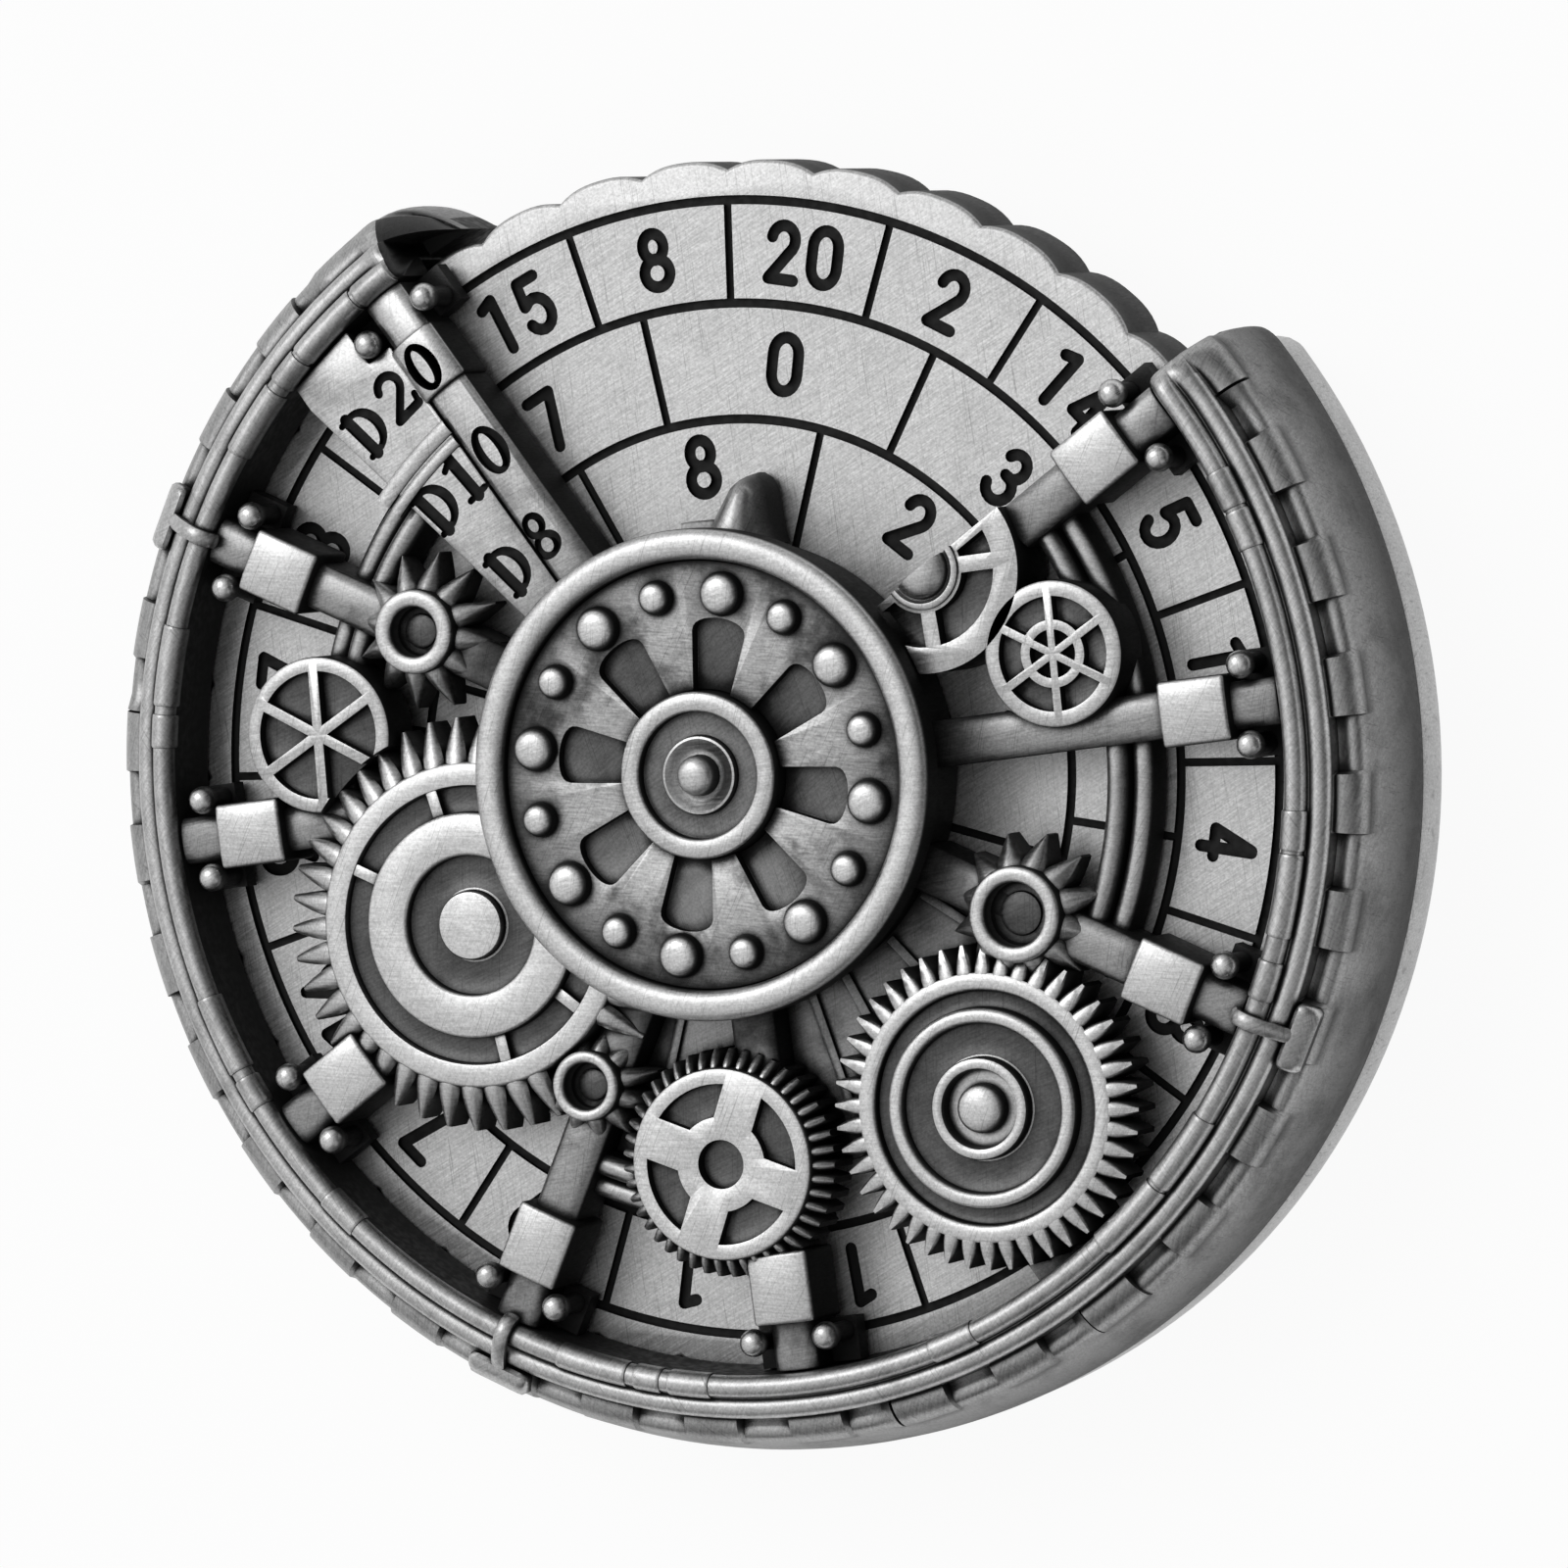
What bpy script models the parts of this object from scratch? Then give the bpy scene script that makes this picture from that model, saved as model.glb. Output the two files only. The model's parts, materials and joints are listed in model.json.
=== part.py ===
"""Pocket dice spinner.

A numbered dial turns on a small ball bearing inside an open C-shaped shell.
Spokes, gears and wheels trim the front, and a pointer on the hub reads the dial.
The spinner lies on its back: +Z is the dial's axis and +Y points to the window.
Headings are degrees clockwise from the middle of the window, seen from the front.
"""

import math

import bmesh
import bpy

MM = 0.001

# Clearances
SEAT_GAP = 0.05 * MM
TRIM_GAP = 0.1 * MM
RUNNING_GAP = 0.3 * MM
EDGE_GAP = 0.45 * MM
BALL_GAP = 0.13 * MM
STUD_GAP = 0.1 * MM

# Ball bearing
BEARING_OUTER_RADIUS = 6.5 * MM
BEARING_BORE_RADIUS = 3.0 * MM
BEARING_WIDTH = 3.5 * MM
BALL_RADIUS = 1.19 * MM
BALL_COUNT = 7
RACE_SPACE = 1.2 * MM
CAGE_WALL = 0.7 * MM
CAGE_EDGE = 0.2 * MM

# Dial
DIAL_RADIUS = 24.85 * MM
BEARING_INSET = 0.1 * MM
SCALLOP_COUNT = 40
SCALLOP_DEPTH = 0.4 * MM
SCALLOP_FULLNESS = 2.5

# Back cover
COVER_THICKNESS = 1.6 * MM
COVER_RIM_HEIGHT = 2.75 * MM
COVER_ROUNDING = 0.6 * MM
DIAL_UNDERGAP = 1.4 * MM
COVER_BOSS_WALL = 1.0 * MM
POST_DROP = 0.4 * MM
WINDOW_SETBACK = 2.4 * MM

# Front shell
SHELL_WALL = 3.13 * MM
WALL_BULGE_RADIUS = 11.0 * MM
WALL_BULGE_DROP = 2.5 * MM
LIP_OVERLAP = 0.25 * MM
RIM_HEIGHT = 3.5 * MM
INNER_PIPE_WIDTH = 1.1 * MM
OUTER_PIPE_WIDTH = 0.75 * MM
PIPE_GROOVE = 0.45 * MM
PIPE_STEP = 0.3 * MM
SHOULDER_DROP = 1.4 * MM
WINDOW_HALF_ANGLE = 42.0
NOSE_ROUNDING = 0.9 * MM

# Deck and hub
DECK_THICKNESS = 0.9 * MM
TONGUE_WIDTH = 4.0 * MM
HUB_RADIUS = 9.4 * MM
HUB_RISE = 0.7 * MM
SHOULDER_LAND = 0.1 * MM
BEZEL_OVERHANG = 0.58 * MM
BEZEL_WIDTH = 1.26 * MM
BEZEL_HEIGHT = 1.4 * MM
CAP_THICKNESS = 0.75 * MM
PETAL_COUNT = 8
PETAL_LENGTH = 2.75 * MM
PETAL_INNER_WIDTH = 1.6 * MM
PETAL_OUTER_WIDTH = 2.3 * MM
PETAL_DEPTH = 0.35 * MM
RIVET_INSET = 1.27 * MM
LARGE_RIVET_RADIUS = 0.92 * MM
SMALL_RIVET_RADIUS = 0.72 * MM
RIVET_RISE = 0.55 * MM
BOSS_RADIUS = 3.4 * MM
BOSS_RISE = 0.6 * MM
BOSS_RING_WIDTH = 0.8 * MM
BOSS_STEP_RADIUS = 1.6 * MM
BOSS_DOME_RADIUS = 0.82 * MM
BOSS_DOME_RISE = 0.5 * MM
POINTER_LENGTH = 2.75 * MM
POINTER_WIDTH = 3.1 * MM
POINTER_TIP_WIDTH = 0.7 * MM
POINTER_HEIGHT = 2.7 * MM
POINTER_TIP_HEIGHT = 1.0 * MM

# Spokes, collars and studded anchors
SPOKE_PITCH = 30.0
SPOKE_WIDTH = 1.9 * MM
SPOKE_HEIGHT = 1.65 * MM
SPOKE_CROWN = 0.18 * MM
SPOKE_LEDGE = 0.5 * MM
COLLAR_WALL = 0.38 * MM
COLLAR_RISE = 0.65 * MM
COLLAR_DROP = 0.1 * MM
COLLAR_LENGTH = 2.9 * MM
COLLAR_SETBACK = 2.1 * MM
STUD_HEAD_RADIUS = 0.56 * MM
STUD_POST_RADIUS = 0.4 * MM
STUD_RISE = 0.1 * MM
ANCHOR_LENGTH = 1.9 * MM

# Rails between spokes, and the label plate
RAIL_RADIUS = 17.65 * MM
RAIL_WIDTH = 2.1 * MM
RAIL_RIB_WIDTH = 0.75 * MM
RAIL_RIB_HEIGHT = 0.5 * MM
RAIL_DROP = 0.5 * MM
PLATE_DROP = 0.15 * MM
PLATE_INNER_WIDTH = 3.0 * MM
PLATE_OUTER_WIDTH = 5.5 * MM

# Gears, pinions and wheels
GEAR_RISE = 1.0 * MM
LEFT_GEAR_STEP = 0.8 * MM
WHEEL_RISE = 0.6 * MM
STAR_RISE = 0.35 * MM
RELIEF_DEPTH = 0.5 * MM
PINION_WELL = 0.62
LEFT_GEAR_ALONG = 12.46 * MM
LEFT_GEAR_TIP = 8.6 * MM
LEFT_TOOTH = 1.7 * MM
BOTTOM_GEAR_ALONG = 15.85 * MM
BOTTOM_GEAR_TIP = 4.64 * MM
BOTTOM_TOOTH = 0.65 * MM
RIGHT_GEAR_GAP = 0.28 * MM
RIGHT_GEAR_TIP = 6.5 * MM
RIGHT_TOOTH = 1.1 * MM
UPPER_PINION_ALONG = 14.31 * MM
UPPER_PINION_TIP = 3.25 * MM
UPPER_PINION_TOOTH = 1.5 * MM
UPPER_PINION_RING = 1.74 * MM
LOWER_PINION_ALONG = 14.0 * MM
LOWER_PINION_TIP = 2.62 * MM
LOWER_PINION_TOOTH = 1.2 * MM
LOWER_PINION_RING = 1.4 * MM
RIGHT_PINION_ALONG = 14.34 * MM
RIGHT_PINION_TIP = 3.25 * MM
RIGHT_PINION_TOOTH = 1.3 * MM
RIGHT_PINION_RING = 1.93 * MM
LEFT_WHEEL_SHIFT = 0.05 * MM
LEFT_WHEEL_RADIUS = 3.25 * MM
RIGHT_WHEEL_SHIFT = 1.78 * MM
RIGHT_WHEEL_RADIUS = 2.83 * MM
HALF_WHEEL_ALONG = 12.4 * MM
HALF_WHEEL_RADIUS = 4.18 * MM
HALF_DOME_RADIUS = 1.2 * MM
WINDOW_SPOKE = 0.55 * MM
WINDOW_RIM = 0.65 * MM
LEFT_DISH_RADIUS = 5.5 * MM
LEFT_RING_RADIUS = 4.43 * MM
LEFT_RING_WIDTH = 1.65 * MM
LEFT_BOSS_RADIUS = 1.39 * MM
RIGHT_DISH_RADIUS = 5.05 * MM
RIGHT_RING_RADIUS = 3.97 * MM
RIGHT_RING_WIDTH = 0.54 * MM
RIGHT_BOSS_RADIUS = 2.12 * MM
BOTTOM_GEAR_TURN = -6.0
WHEEL_TURN = 42.0

# Straps over the rim
STRAP_WIDTH = 0.75 * MM
STRAP_THICKNESS = 0.5 * MM
STRAP_HEAD_WIDTH = 2.8 * MM
STRAP_HEAD_LENGTH = 0.75 * MM
STRAP_FLARE = 0.15 * MM
STRAP_FALL = 0.5 * MM

# Screws
AXLE_SCREW_RADIUS = 1.5 * MM
AXLE_HEAD_RADIUS = 2.6 * MM
AXLE_HEAD_HEIGHT = 1.3 * MM
AXLE_THREAD_LENGTH = 2.0 * MM
COVER_SCREW_RADIUS = 0.45 * MM
COVER_HEAD_RADIUS = 0.75 * MM
COVER_HEAD_HEIGHT = 0.6 * MM
COVER_SCREW_REACH = 2.4 * MM

# Facets
RACE_STEPS = 24
HUB_STEPS = 36
COVER_STEPS = 64
SHELL_STEP_ANGLE = 7.5
NOSE_STEPS = 3
TRIM_STEPS = 36

# Levels along the axis
dial_thickness = BEARING_WIDTH + 2 * BEARING_INSET
dial_back = COVER_THICKNESS + DIAL_UNDERGAP
dial_face = dial_back + dial_thickness
bearing_bottom = dial_back + BEARING_INSET
bearing_top = bearing_bottom + BEARING_WIDTH
bearing_middle = (bearing_bottom + bearing_top) / 2
deck_bottom = dial_face + RUNNING_GAP
deck_top = deck_bottom + DECK_THICKNESS
collar_bottom = deck_top + SEAT_GAP
spoke_bottom = collar_bottom + COLLAR_DROP
spoke_top = spoke_bottom + SPOKE_HEIGHT
collar_top = spoke_top + COLLAR_RISE
ledge_top = spoke_bottom + SPOKE_LEDGE
ornament_bottom = ledge_top + SEAT_GAP
gear_top = spoke_top + GEAR_RISE
rail_top = spoke_top - RAIL_DROP
wheel_bottom = rail_top + SEAT_GAP
wheel_top = spoke_top + WHEEL_RISE
star_top = spoke_top + STAR_RISE
hub_top = spoke_top + HUB_RISE
cap_bottom = hub_top + SEAT_GAP
cap_top = cap_bottom + CAP_THICKNESS
bezel_top = cap_bottom + BEZEL_HEIGHT
rim_top = dial_face + RIM_HEIGHT

# Radii
channel_radius = DIAL_RADIUS + EDGE_GAP
outer_radius = channel_radius + SHELL_WALL
lip_radius = DIAL_RADIUS - LIP_OVERLAP
wall_radius = lip_radius * math.cos(math.radians(SHELL_STEP_ANGLE / 2)) - SEAT_GAP
hub_seat_radius = HUB_RADIUS + SEAT_GAP
bezel_outer = HUB_RADIUS + BEZEL_OVERHANG
bezel_inner = bezel_outer - BEZEL_WIDTH
cap_radius = bezel_inner - SEAT_GAP
pitch_radius = (BEARING_OUTER_RADIUS + BEARING_BORE_RADIUS) / 2
inner_land = pitch_radius - RACE_SPACE / 2
outer_land = pitch_radius + RACE_SPACE / 2
post_radius = BEARING_BORE_RADIUS - SEAT_GAP
half_spoke = SPOKE_WIDTH / 2
collar_end = lip_radius - COLLAR_SETBACK
collar_start = collar_end - COLLAR_LENGTH
stud_along = collar_end + STUD_GAP + STUD_HEAD_RADIUS
stud_across = half_spoke + STUD_GAP + STUD_HEAD_RADIUS
rail_inner = RAIL_RADIUS - RAIL_WIDTH / 2
rail_outer = RAIL_RADIUS + RAIL_WIDTH / 2

# Finishes: colour, roughness, metallic
BRIGHT_PEWTER = ((0.60, 0.60, 0.60), 0.38, 1.0)
DARK_PEWTER = ((0.30, 0.30, 0.30), 0.48, 1.0)
BEARING_STEEL = ((0.66, 0.67, 0.68), 0.18, 1.0)
CAGE_BRASS = ((0.62, 0.47, 0.22), 0.35, 1.0)
SCREW_STEEL = ((0.42, 0.42, 0.43), 0.35, 1.0)


for leftover in list(bpy.data.objects):
    bpy.data.objects.remove(leftover)


def carrier(name):
    """An empty on the dial's axis that holds the pieces of one rigid body."""
    empty = bpy.data.objects.new(name, None)
    bpy.context.scene.collection.objects.link(empty)
    return empty


shell_body = carrier("shell_body")
dial_body = carrier("dial_body")
cage_body = carrier("cage_body")


def metal(name, finish):
    """A Principled material from a finish's colour, roughness and metallic value."""
    colour, roughness, metallic = finish
    material = bpy.data.materials.new(name)
    material.use_nodes = True
    shader = material.node_tree.nodes["Principled BSDF"]
    shader.inputs["Base Color"].default_value = (*colour, 1.0)
    shader.inputs["Roughness"].default_value = roughness
    shader.inputs["Metallic"].default_value = metallic
    return material


def add_object(name, shape):
    """Turn a bmesh into a linked object."""
    mesh = bpy.data.meshes.new(name)
    shape.to_mesh(mesh)
    shape.free()
    thing = bpy.data.objects.new(name, mesh)
    bpy.context.scene.collection.objects.link(thing)
    return thing


def piece(name, shape, finish, body, round_piece=False):
    """A finished sub-part: its object, material and body."""
    thing = add_object(name, shape)
    thing.data.materials.append(metal(name, finish))
    thing.parent = body
    if round_piece:
        thing.data.shade_smooth()
        thing.data.set_sharp_from_angle(angle=math.radians(35))
    return thing


def tool(name, shape):
    """A hidden solid that cuts or joins another."""
    thing = add_object(name, shape)
    thing.hide_render = True
    thing.display_type = "WIRE"
    return thing


def combine(thing, other, operation):
    """Keep a Boolean with a hidden tool on a piece."""
    modifier = thing.modifiers.new(other.name, "BOOLEAN")
    modifier.object = other
    modifier.operation = operation
    modifier.solver = "EXACT"


def at_heading(radius, heading, height):
    """A point at a heading, clockwise from the window."""
    angle = math.radians(heading)
    return (radius * math.sin(angle), radius * math.cos(angle), height)


def on_spoke(along, across, height, heading):
    """A point in a spoke's own directions: outward, clockwise and up."""
    angle = math.radians(heading)
    x = along * math.sin(angle) + across * math.cos(angle)
    y = along * math.cos(angle) - across * math.sin(angle)
    return (x, y, height)


def loft(sections):
    """A closed solid through a row of like sections, with flat ends."""
    shape = bmesh.new()
    rows = [[shape.verts.new(point) for point in section] for section in sections]
    for row, following in zip(rows, rows[1:]):
        for index in range(len(row)):
            after = (index + 1) % len(row)
            shape.faces.new((row[index], row[after], following[after], following[index]))
    shape.faces.new(rows[0][::-1])
    shape.faces.new(rows[-1])
    bmesh.ops.recalc_face_normals(shape, faces=shape.faces)
    return shape


def slab(outline, bottom, top):
    """A flat plate of a plan outline between two levels."""
    return loft([[(x, y, level) for x, y in outline] for level in (bottom, top)])


def turned(profile, steps, closed=True):
    """Spin a radius and height outline round the dial's axis."""
    shape = bmesh.new()
    points = [shape.verts.new((radius, 0.0, height)) for radius, height in profile]
    pairs = list(zip(points, points[1:]))
    if closed:
        pairs.append((points[-1], points[0]))
    edges = [shape.edges.new(pair) for pair in pairs]
    bmesh.ops.spin(shape, geom=points + edges, cent=(0, 0, 0), axis=(0, 0, 1),
                   angle=math.tau, steps=steps, use_merge=False)
    bmesh.ops.remove_doubles(shape, verts=shape.verts, dist=0.001 * MM)
    bmesh.ops.recalc_face_normals(shape, faces=shape.faces)
    return shape


def moved(shape, place):
    """Shift a bmesh to a place."""
    bmesh.ops.translate(shape, vec=place, verts=shape.verts)
    return shape


def merged(shapes):
    """Gather several solids in one bmesh, for a tool with many bodies."""
    together = bmesh.new()
    for shape in shapes:
        mesh = bpy.data.meshes.new("gathered")
        shape.to_mesh(mesh)
        shape.free()
        together.from_mesh(mesh)
        bpy.data.meshes.remove(mesh)
    return together


def circle(centre, radius, steps, turn=0.0):
    """Plan points round a circle."""
    angles = [turn + math.tau * index / steps for index in range(steps)]
    return [(centre[0] + radius * math.cos(a), centre[1] + radius * math.sin(a)) for a in angles]


def round_tool(name, centre, radius, bottom, top, steps=TRIM_STEPS):
    """A cylinder that clears a circle of the given radius."""
    outside = radius / math.cos(math.pi / steps)
    return tool(name, slab(circle(centre, outside, steps), bottom, top))


def ring_tool(name, centre, inner, outer, bottom, top, steps=32):
    """An annular tool for a round recess."""
    profile = [(inner, bottom), (outer, bottom), (outer, top), (inner, top)]
    return tool(name, moved(turned(profile, steps), (centre[0], centre[1], 0.0)))


def arc_points(centre, radius, start, end, steps):
    """Points of an arc in a radius and height plane, angles in degrees."""
    angles = [math.radians(start + (end - start) * index / steps) for index in range(steps + 1)]
    return [(centre[0] + radius * math.cos(a), centre[1] + radius * math.sin(a)) for a in angles]


bulge_level = dial_face - WALL_BULGE_DROP


def wall_at(level):
    """The radius of the bulged outer wall at a level."""
    rise = level - bulge_level
    return outer_radius - WALL_BULGE_RADIUS + math.sqrt(WALL_BULGE_RADIUS ** 2 - rise ** 2)


# Back cover: a shallow turned dish with a post for the bearing, cut away behind the window.
cover_boss_radius = BEARING_BORE_RADIUS + COVER_BOSS_WALL
post_top = bearing_top - POST_DROP
axle_hole = AXLE_SCREW_RADIUS + SEAT_GAP
axle_hole_bottom = post_top - AXLE_THREAD_LENGTH
cover_profile = [
    (0.0, 0.0),
    (wall_at(COVER_ROUNDING) - COVER_ROUNDING, 0.0),
    (wall_at(COVER_ROUNDING) - 0.3 * COVER_ROUNDING, 0.3 * COVER_ROUNDING),
    (wall_at(COVER_ROUNDING), COVER_ROUNDING),
    (wall_at((COVER_ROUNDING + COVER_RIM_HEIGHT) / 2), (COVER_ROUNDING + COVER_RIM_HEIGHT) / 2),
    (wall_at(COVER_RIM_HEIGHT), COVER_RIM_HEIGHT),
    (channel_radius, COVER_RIM_HEIGHT),
    (channel_radius, COVER_THICKNESS),
    (cover_boss_radius, COVER_THICKNESS),
    (cover_boss_radius, bearing_bottom - SEAT_GAP),
    (post_radius, bearing_bottom - SEAT_GAP),
    (post_radius, post_top),
    (axle_hole, post_top),
    (axle_hole, axle_hole_bottom),
    (0.0, axle_hole_bottom),
]
back_cover = piece("back_cover", turned(cover_profile, COVER_STEPS, closed=False),
                   DARK_PEWTER, shell_body, round_piece=True)
window_inner = DIAL_RADIUS - WINDOW_SETBACK
window_steps = 14
window_headings = [WINDOW_HALF_ANGLE * (2 * index / window_steps - 1) for index in range(window_steps + 1)]
window_outline = [at_heading(window_inner, heading, 0)[:2] for heading in window_headings]
window_outline += [at_heading(outer_radius * 1.2, heading, 0)[:2] for heading in reversed(window_headings)]
combine(back_cover, tool("window_cut", slab(window_outline, -COVER_THICKNESS, 2 * COVER_RIM_HEIGHT)),
        "DIFFERENCE")

# Front shell: a C-shaped rim with two pipes round its top, hollow behind for the dial's edge.
shell_bottom = COVER_RIM_HEIGHT + SEAT_GAP


def pipe_top(inner, width, top):
    """A half-round pipe across the rim, from its outer side to its inner side."""
    middle = inner + width / 2
    rise = min(width / 2, PIPE_GROOVE)
    angles = [math.radians(180 * index / 4) for index in range(5)]
    return [(middle + width / 2 * math.cos(a), top - rise + rise * math.sin(a)) for a in angles]


def shell_section(heading, inset):
    """The rim's cross-section, drawn in by a nose's rounding."""
    top = rim_top - inset
    levels = (shell_bottom, bulge_level, dial_face, top - SHOULDER_DROP)
    outline = [(channel_radius, shell_bottom)]
    outline += [(wall_at(level) - inset / 2, level) for level in levels]
    outline += pipe_top(lip_radius + INNER_PIPE_WIDTH, OUTER_PIPE_WIDTH, top - PIPE_STEP)
    outline += pipe_top(lip_radius, INNER_PIPE_WIDTH, top)[1:]
    outline += [(lip_radius, deck_bottom), (channel_radius, deck_bottom)]
    return [at_heading(radius, heading, height) for radius, height in outline]


shell_start = WINDOW_HALF_ANGLE
shell_end = 360.0 - WINDOW_HALF_ANGLE
nose_angle = math.degrees(NOSE_ROUNDING / lip_radius)
plain_sweep = shell_end - shell_start - 2 * nose_angle
shell_steps = math.ceil(plain_sweep / SHELL_STEP_ANGLE)
nose_stations = []
for index in range(NOSE_STEPS):
    turn = math.radians(90 * index / NOSE_STEPS)
    nose_stations.append((nose_angle * (1 - math.cos(turn)), NOSE_ROUNDING * (1 - math.sin(turn))))
shell_stations = [(shell_start + step, inset) for step, inset in nose_stations]
for index in range(shell_steps + 1):
    shell_stations.append((shell_start + nose_angle + plain_sweep * index / shell_steps, 0.0))
shell_stations += [(shell_end - step, inset) for step, inset in reversed(nose_stations)]
front_shell = piece("front_shell", loft([shell_section(*station) for station in shell_stations]),
                    BRIGHT_PEWTER, shell_body, round_piece=True)

# Number dial: a flat disc with a scalloped edge for the thumb, bored for the bearing.
scallop_points = 4
dial_outline = []
for index in range(SCALLOP_COUNT * scallop_points):
    share = index / scallop_points
    dip = SCALLOP_DEPTH * abs(2 * (share % 1) - 1) ** SCALLOP_FULLNESS
    dial_outline.append(at_heading(DIAL_RADIUS - dip, 360.0 * share / SCALLOP_COUNT, 0)[:2])
number_dial = piece("number_dial", slab(dial_outline, dial_back, dial_face), BRIGHT_PEWTER, dial_body)
bore_profile = [(0.0, dial_back - RUNNING_GAP), (BEARING_OUTER_RADIUS + SEAT_GAP, dial_back - RUNNING_GAP),
                (BEARING_OUTER_RADIUS + SEAT_GAP, dial_face + RUNNING_GAP), (0.0, dial_face + RUNNING_GAP)]
combine(number_dial, tool("dial_bore", turned(bore_profile, RACE_STEPS, closed=False)), "DIFFERENCE")

# Ball bearing: two grooved races, a pocketed cage and the balls.
groove_radius = BALL_RADIUS + BALL_GAP
groove_half = math.degrees(math.acos(RACE_SPACE / 2 / groove_radius))
ball_centre = (pitch_radius, bearing_middle)
outer_race_profile = [(outer_land, bearing_bottom), (BEARING_OUTER_RADIUS, bearing_bottom),
                      (BEARING_OUTER_RADIUS, bearing_top), (outer_land, bearing_top)]
outer_race_profile += arc_points(ball_centre, groove_radius, groove_half, -groove_half, 5)
piece("bearing_outer_race", turned(outer_race_profile, RACE_STEPS), BEARING_STEEL, dial_body, True)
inner_race_profile = [(inner_land, bearing_top), (BEARING_BORE_RADIUS, bearing_top),
                      (BEARING_BORE_RADIUS, bearing_bottom), (inner_land, bearing_bottom)]
inner_race_profile += arc_points(ball_centre, groove_radius, 180 + groove_half, 180 - groove_half, 5)
piece("bearing_inner_race", turned(inner_race_profile, RACE_STEPS), BEARING_STEEL, shell_body, True)

cage_half_height = BALL_RADIUS + BALL_GAP + CAGE_EDGE
cage_profile = [(pitch_radius - CAGE_WALL / 2, bearing_middle - cage_half_height),
                (pitch_radius + CAGE_WALL / 2, bearing_middle - cage_half_height),
                (pitch_radius + CAGE_WALL / 2, bearing_middle + cage_half_height),
                (pitch_radius - CAGE_WALL / 2, bearing_middle + cage_half_height)]
bearing_cage = piece("bearing_cage", turned(cage_profile, RACE_STEPS), CAGE_BRASS, cage_body, True)
pocket_steps = 8
pocket_radius = (BALL_RADIUS + BALL_GAP) / math.cos(math.pi / pocket_steps)
pockets = []
for number in range(BALL_COUNT):
    heading = 360.0 * number / BALL_COUNT
    around = circle((0.0, bearing_middle), pocket_radius, pocket_steps, math.pi / pocket_steps)
    ends = [pitch_radius - CAGE_WALL, pitch_radius + CAGE_WALL]
    pockets.append(loft([[on_spoke(along, across, height, heading) for across, height in around]
                         for along in ends]))
    ball = bmesh.new()
    bmesh.ops.create_uvsphere(ball, u_segments=8, v_segments=5, radius=BALL_RADIUS)
    piece(f"bearing_ball_{number + 1}", moved(ball, at_heading(pitch_radius, heading, bearing_middle)),
          BEARING_STEEL, cage_body, True)
combine(bearing_cage, tool("cage_pockets", merged(pockets)), "DIFFERENCE")

# Hub base: a turned block on the bearing's inner race that carries the spokes.
head_floor = hub_top - AXLE_HEAD_HEIGHT - SEAT_GAP
head_hole = AXLE_HEAD_RADIUS + SEAT_GAP
race_seat = bearing_top + SEAT_GAP
hub_profile = [
    (axle_hole, race_seat),
    (inner_land - SHOULDER_LAND, race_seat),
    (inner_land - SHOULDER_LAND, deck_bottom),
    (HUB_RADIUS, deck_bottom),
    (HUB_RADIUS, hub_top),
    (head_hole, hub_top),
    (head_hole, head_floor),
    (axle_hole, head_floor),
]
piece("hub_base", turned(hub_profile, HUB_STEPS), DARK_PEWTER, shell_body, True)
screw_tip = axle_hole_bottom + SEAT_GAP
axle_profile = [(0.0, screw_tip), (AXLE_SCREW_RADIUS, screw_tip), (AXLE_SCREW_RADIUS, head_floor + SEAT_GAP),
                (AXLE_HEAD_RADIUS, head_floor + SEAT_GAP), (AXLE_HEAD_RADIUS, hub_top), (0.0, hub_top)]
piece("axle_screw", turned(axle_profile, HUB_STEPS, closed=False), SCREW_STEEL, shell_body, True)

# Hub bezel: a rounded ring that stands proud of the hub's edge.
bezel_profile = [(bezel_inner, cap_bottom), (bezel_outer, cap_bottom)]
bezel_round = BEZEL_WIDTH / 2
bezel_crown = min(bezel_round, BEZEL_HEIGHT)
for index in range(5):
    turn = math.radians(180 * index / 4)
    bezel_profile.append((bezel_inner + bezel_round + bezel_round * math.cos(turn),
                          bezel_top - bezel_crown + bezel_crown * math.sin(turn)))
piece("hub_bezel", turned(bezel_profile, HUB_STEPS), BRIGHT_PEWTER, shell_body, True)

# Hub cap: a disc with petal-shaped recesses and a ring of cast rivets.
boss_hole = BOSS_RADIUS + SEAT_GAP
cap_profile = [(boss_hole, cap_bottom), (cap_radius, cap_bottom), (cap_radius, cap_top), (boss_hole, cap_top)]
hub_cap = piece("hub_cap", turned(cap_profile, HUB_STEPS), DARK_PEWTER, shell_body, True)
petals = []
petal_round_steps = 4
for number in range(PETAL_COUNT):
    heading = 360.0 * number / PETAL_COUNT
    start = boss_hole - PETAL_INNER_WIDTH / 2
    bend = boss_hole + PETAL_LENGTH - PETAL_OUTER_WIDTH / 2
    petal_plan = [(start, PETAL_INNER_WIDTH / 2), (start, -PETAL_INNER_WIDTH / 2)]
    for index in range(petal_round_steps + 1):
        turn = math.radians(-90 + 180 * index / petal_round_steps)
        reach = PETAL_OUTER_WIDTH / 2
        petal_plan.append((bend + reach * math.cos(turn), reach * math.sin(turn)))
    outline = [on_spoke(along, across, 0, heading)[:2] for along, across in petal_plan]
    petals.append(slab(outline, cap_top - PETAL_DEPTH, cap_top + CAP_THICKNESS))
combine(hub_cap, tool("petal_recesses", merged(petals)), "DIFFERENCE")
rivets = []
rivet_count = 2 * PETAL_COUNT
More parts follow.
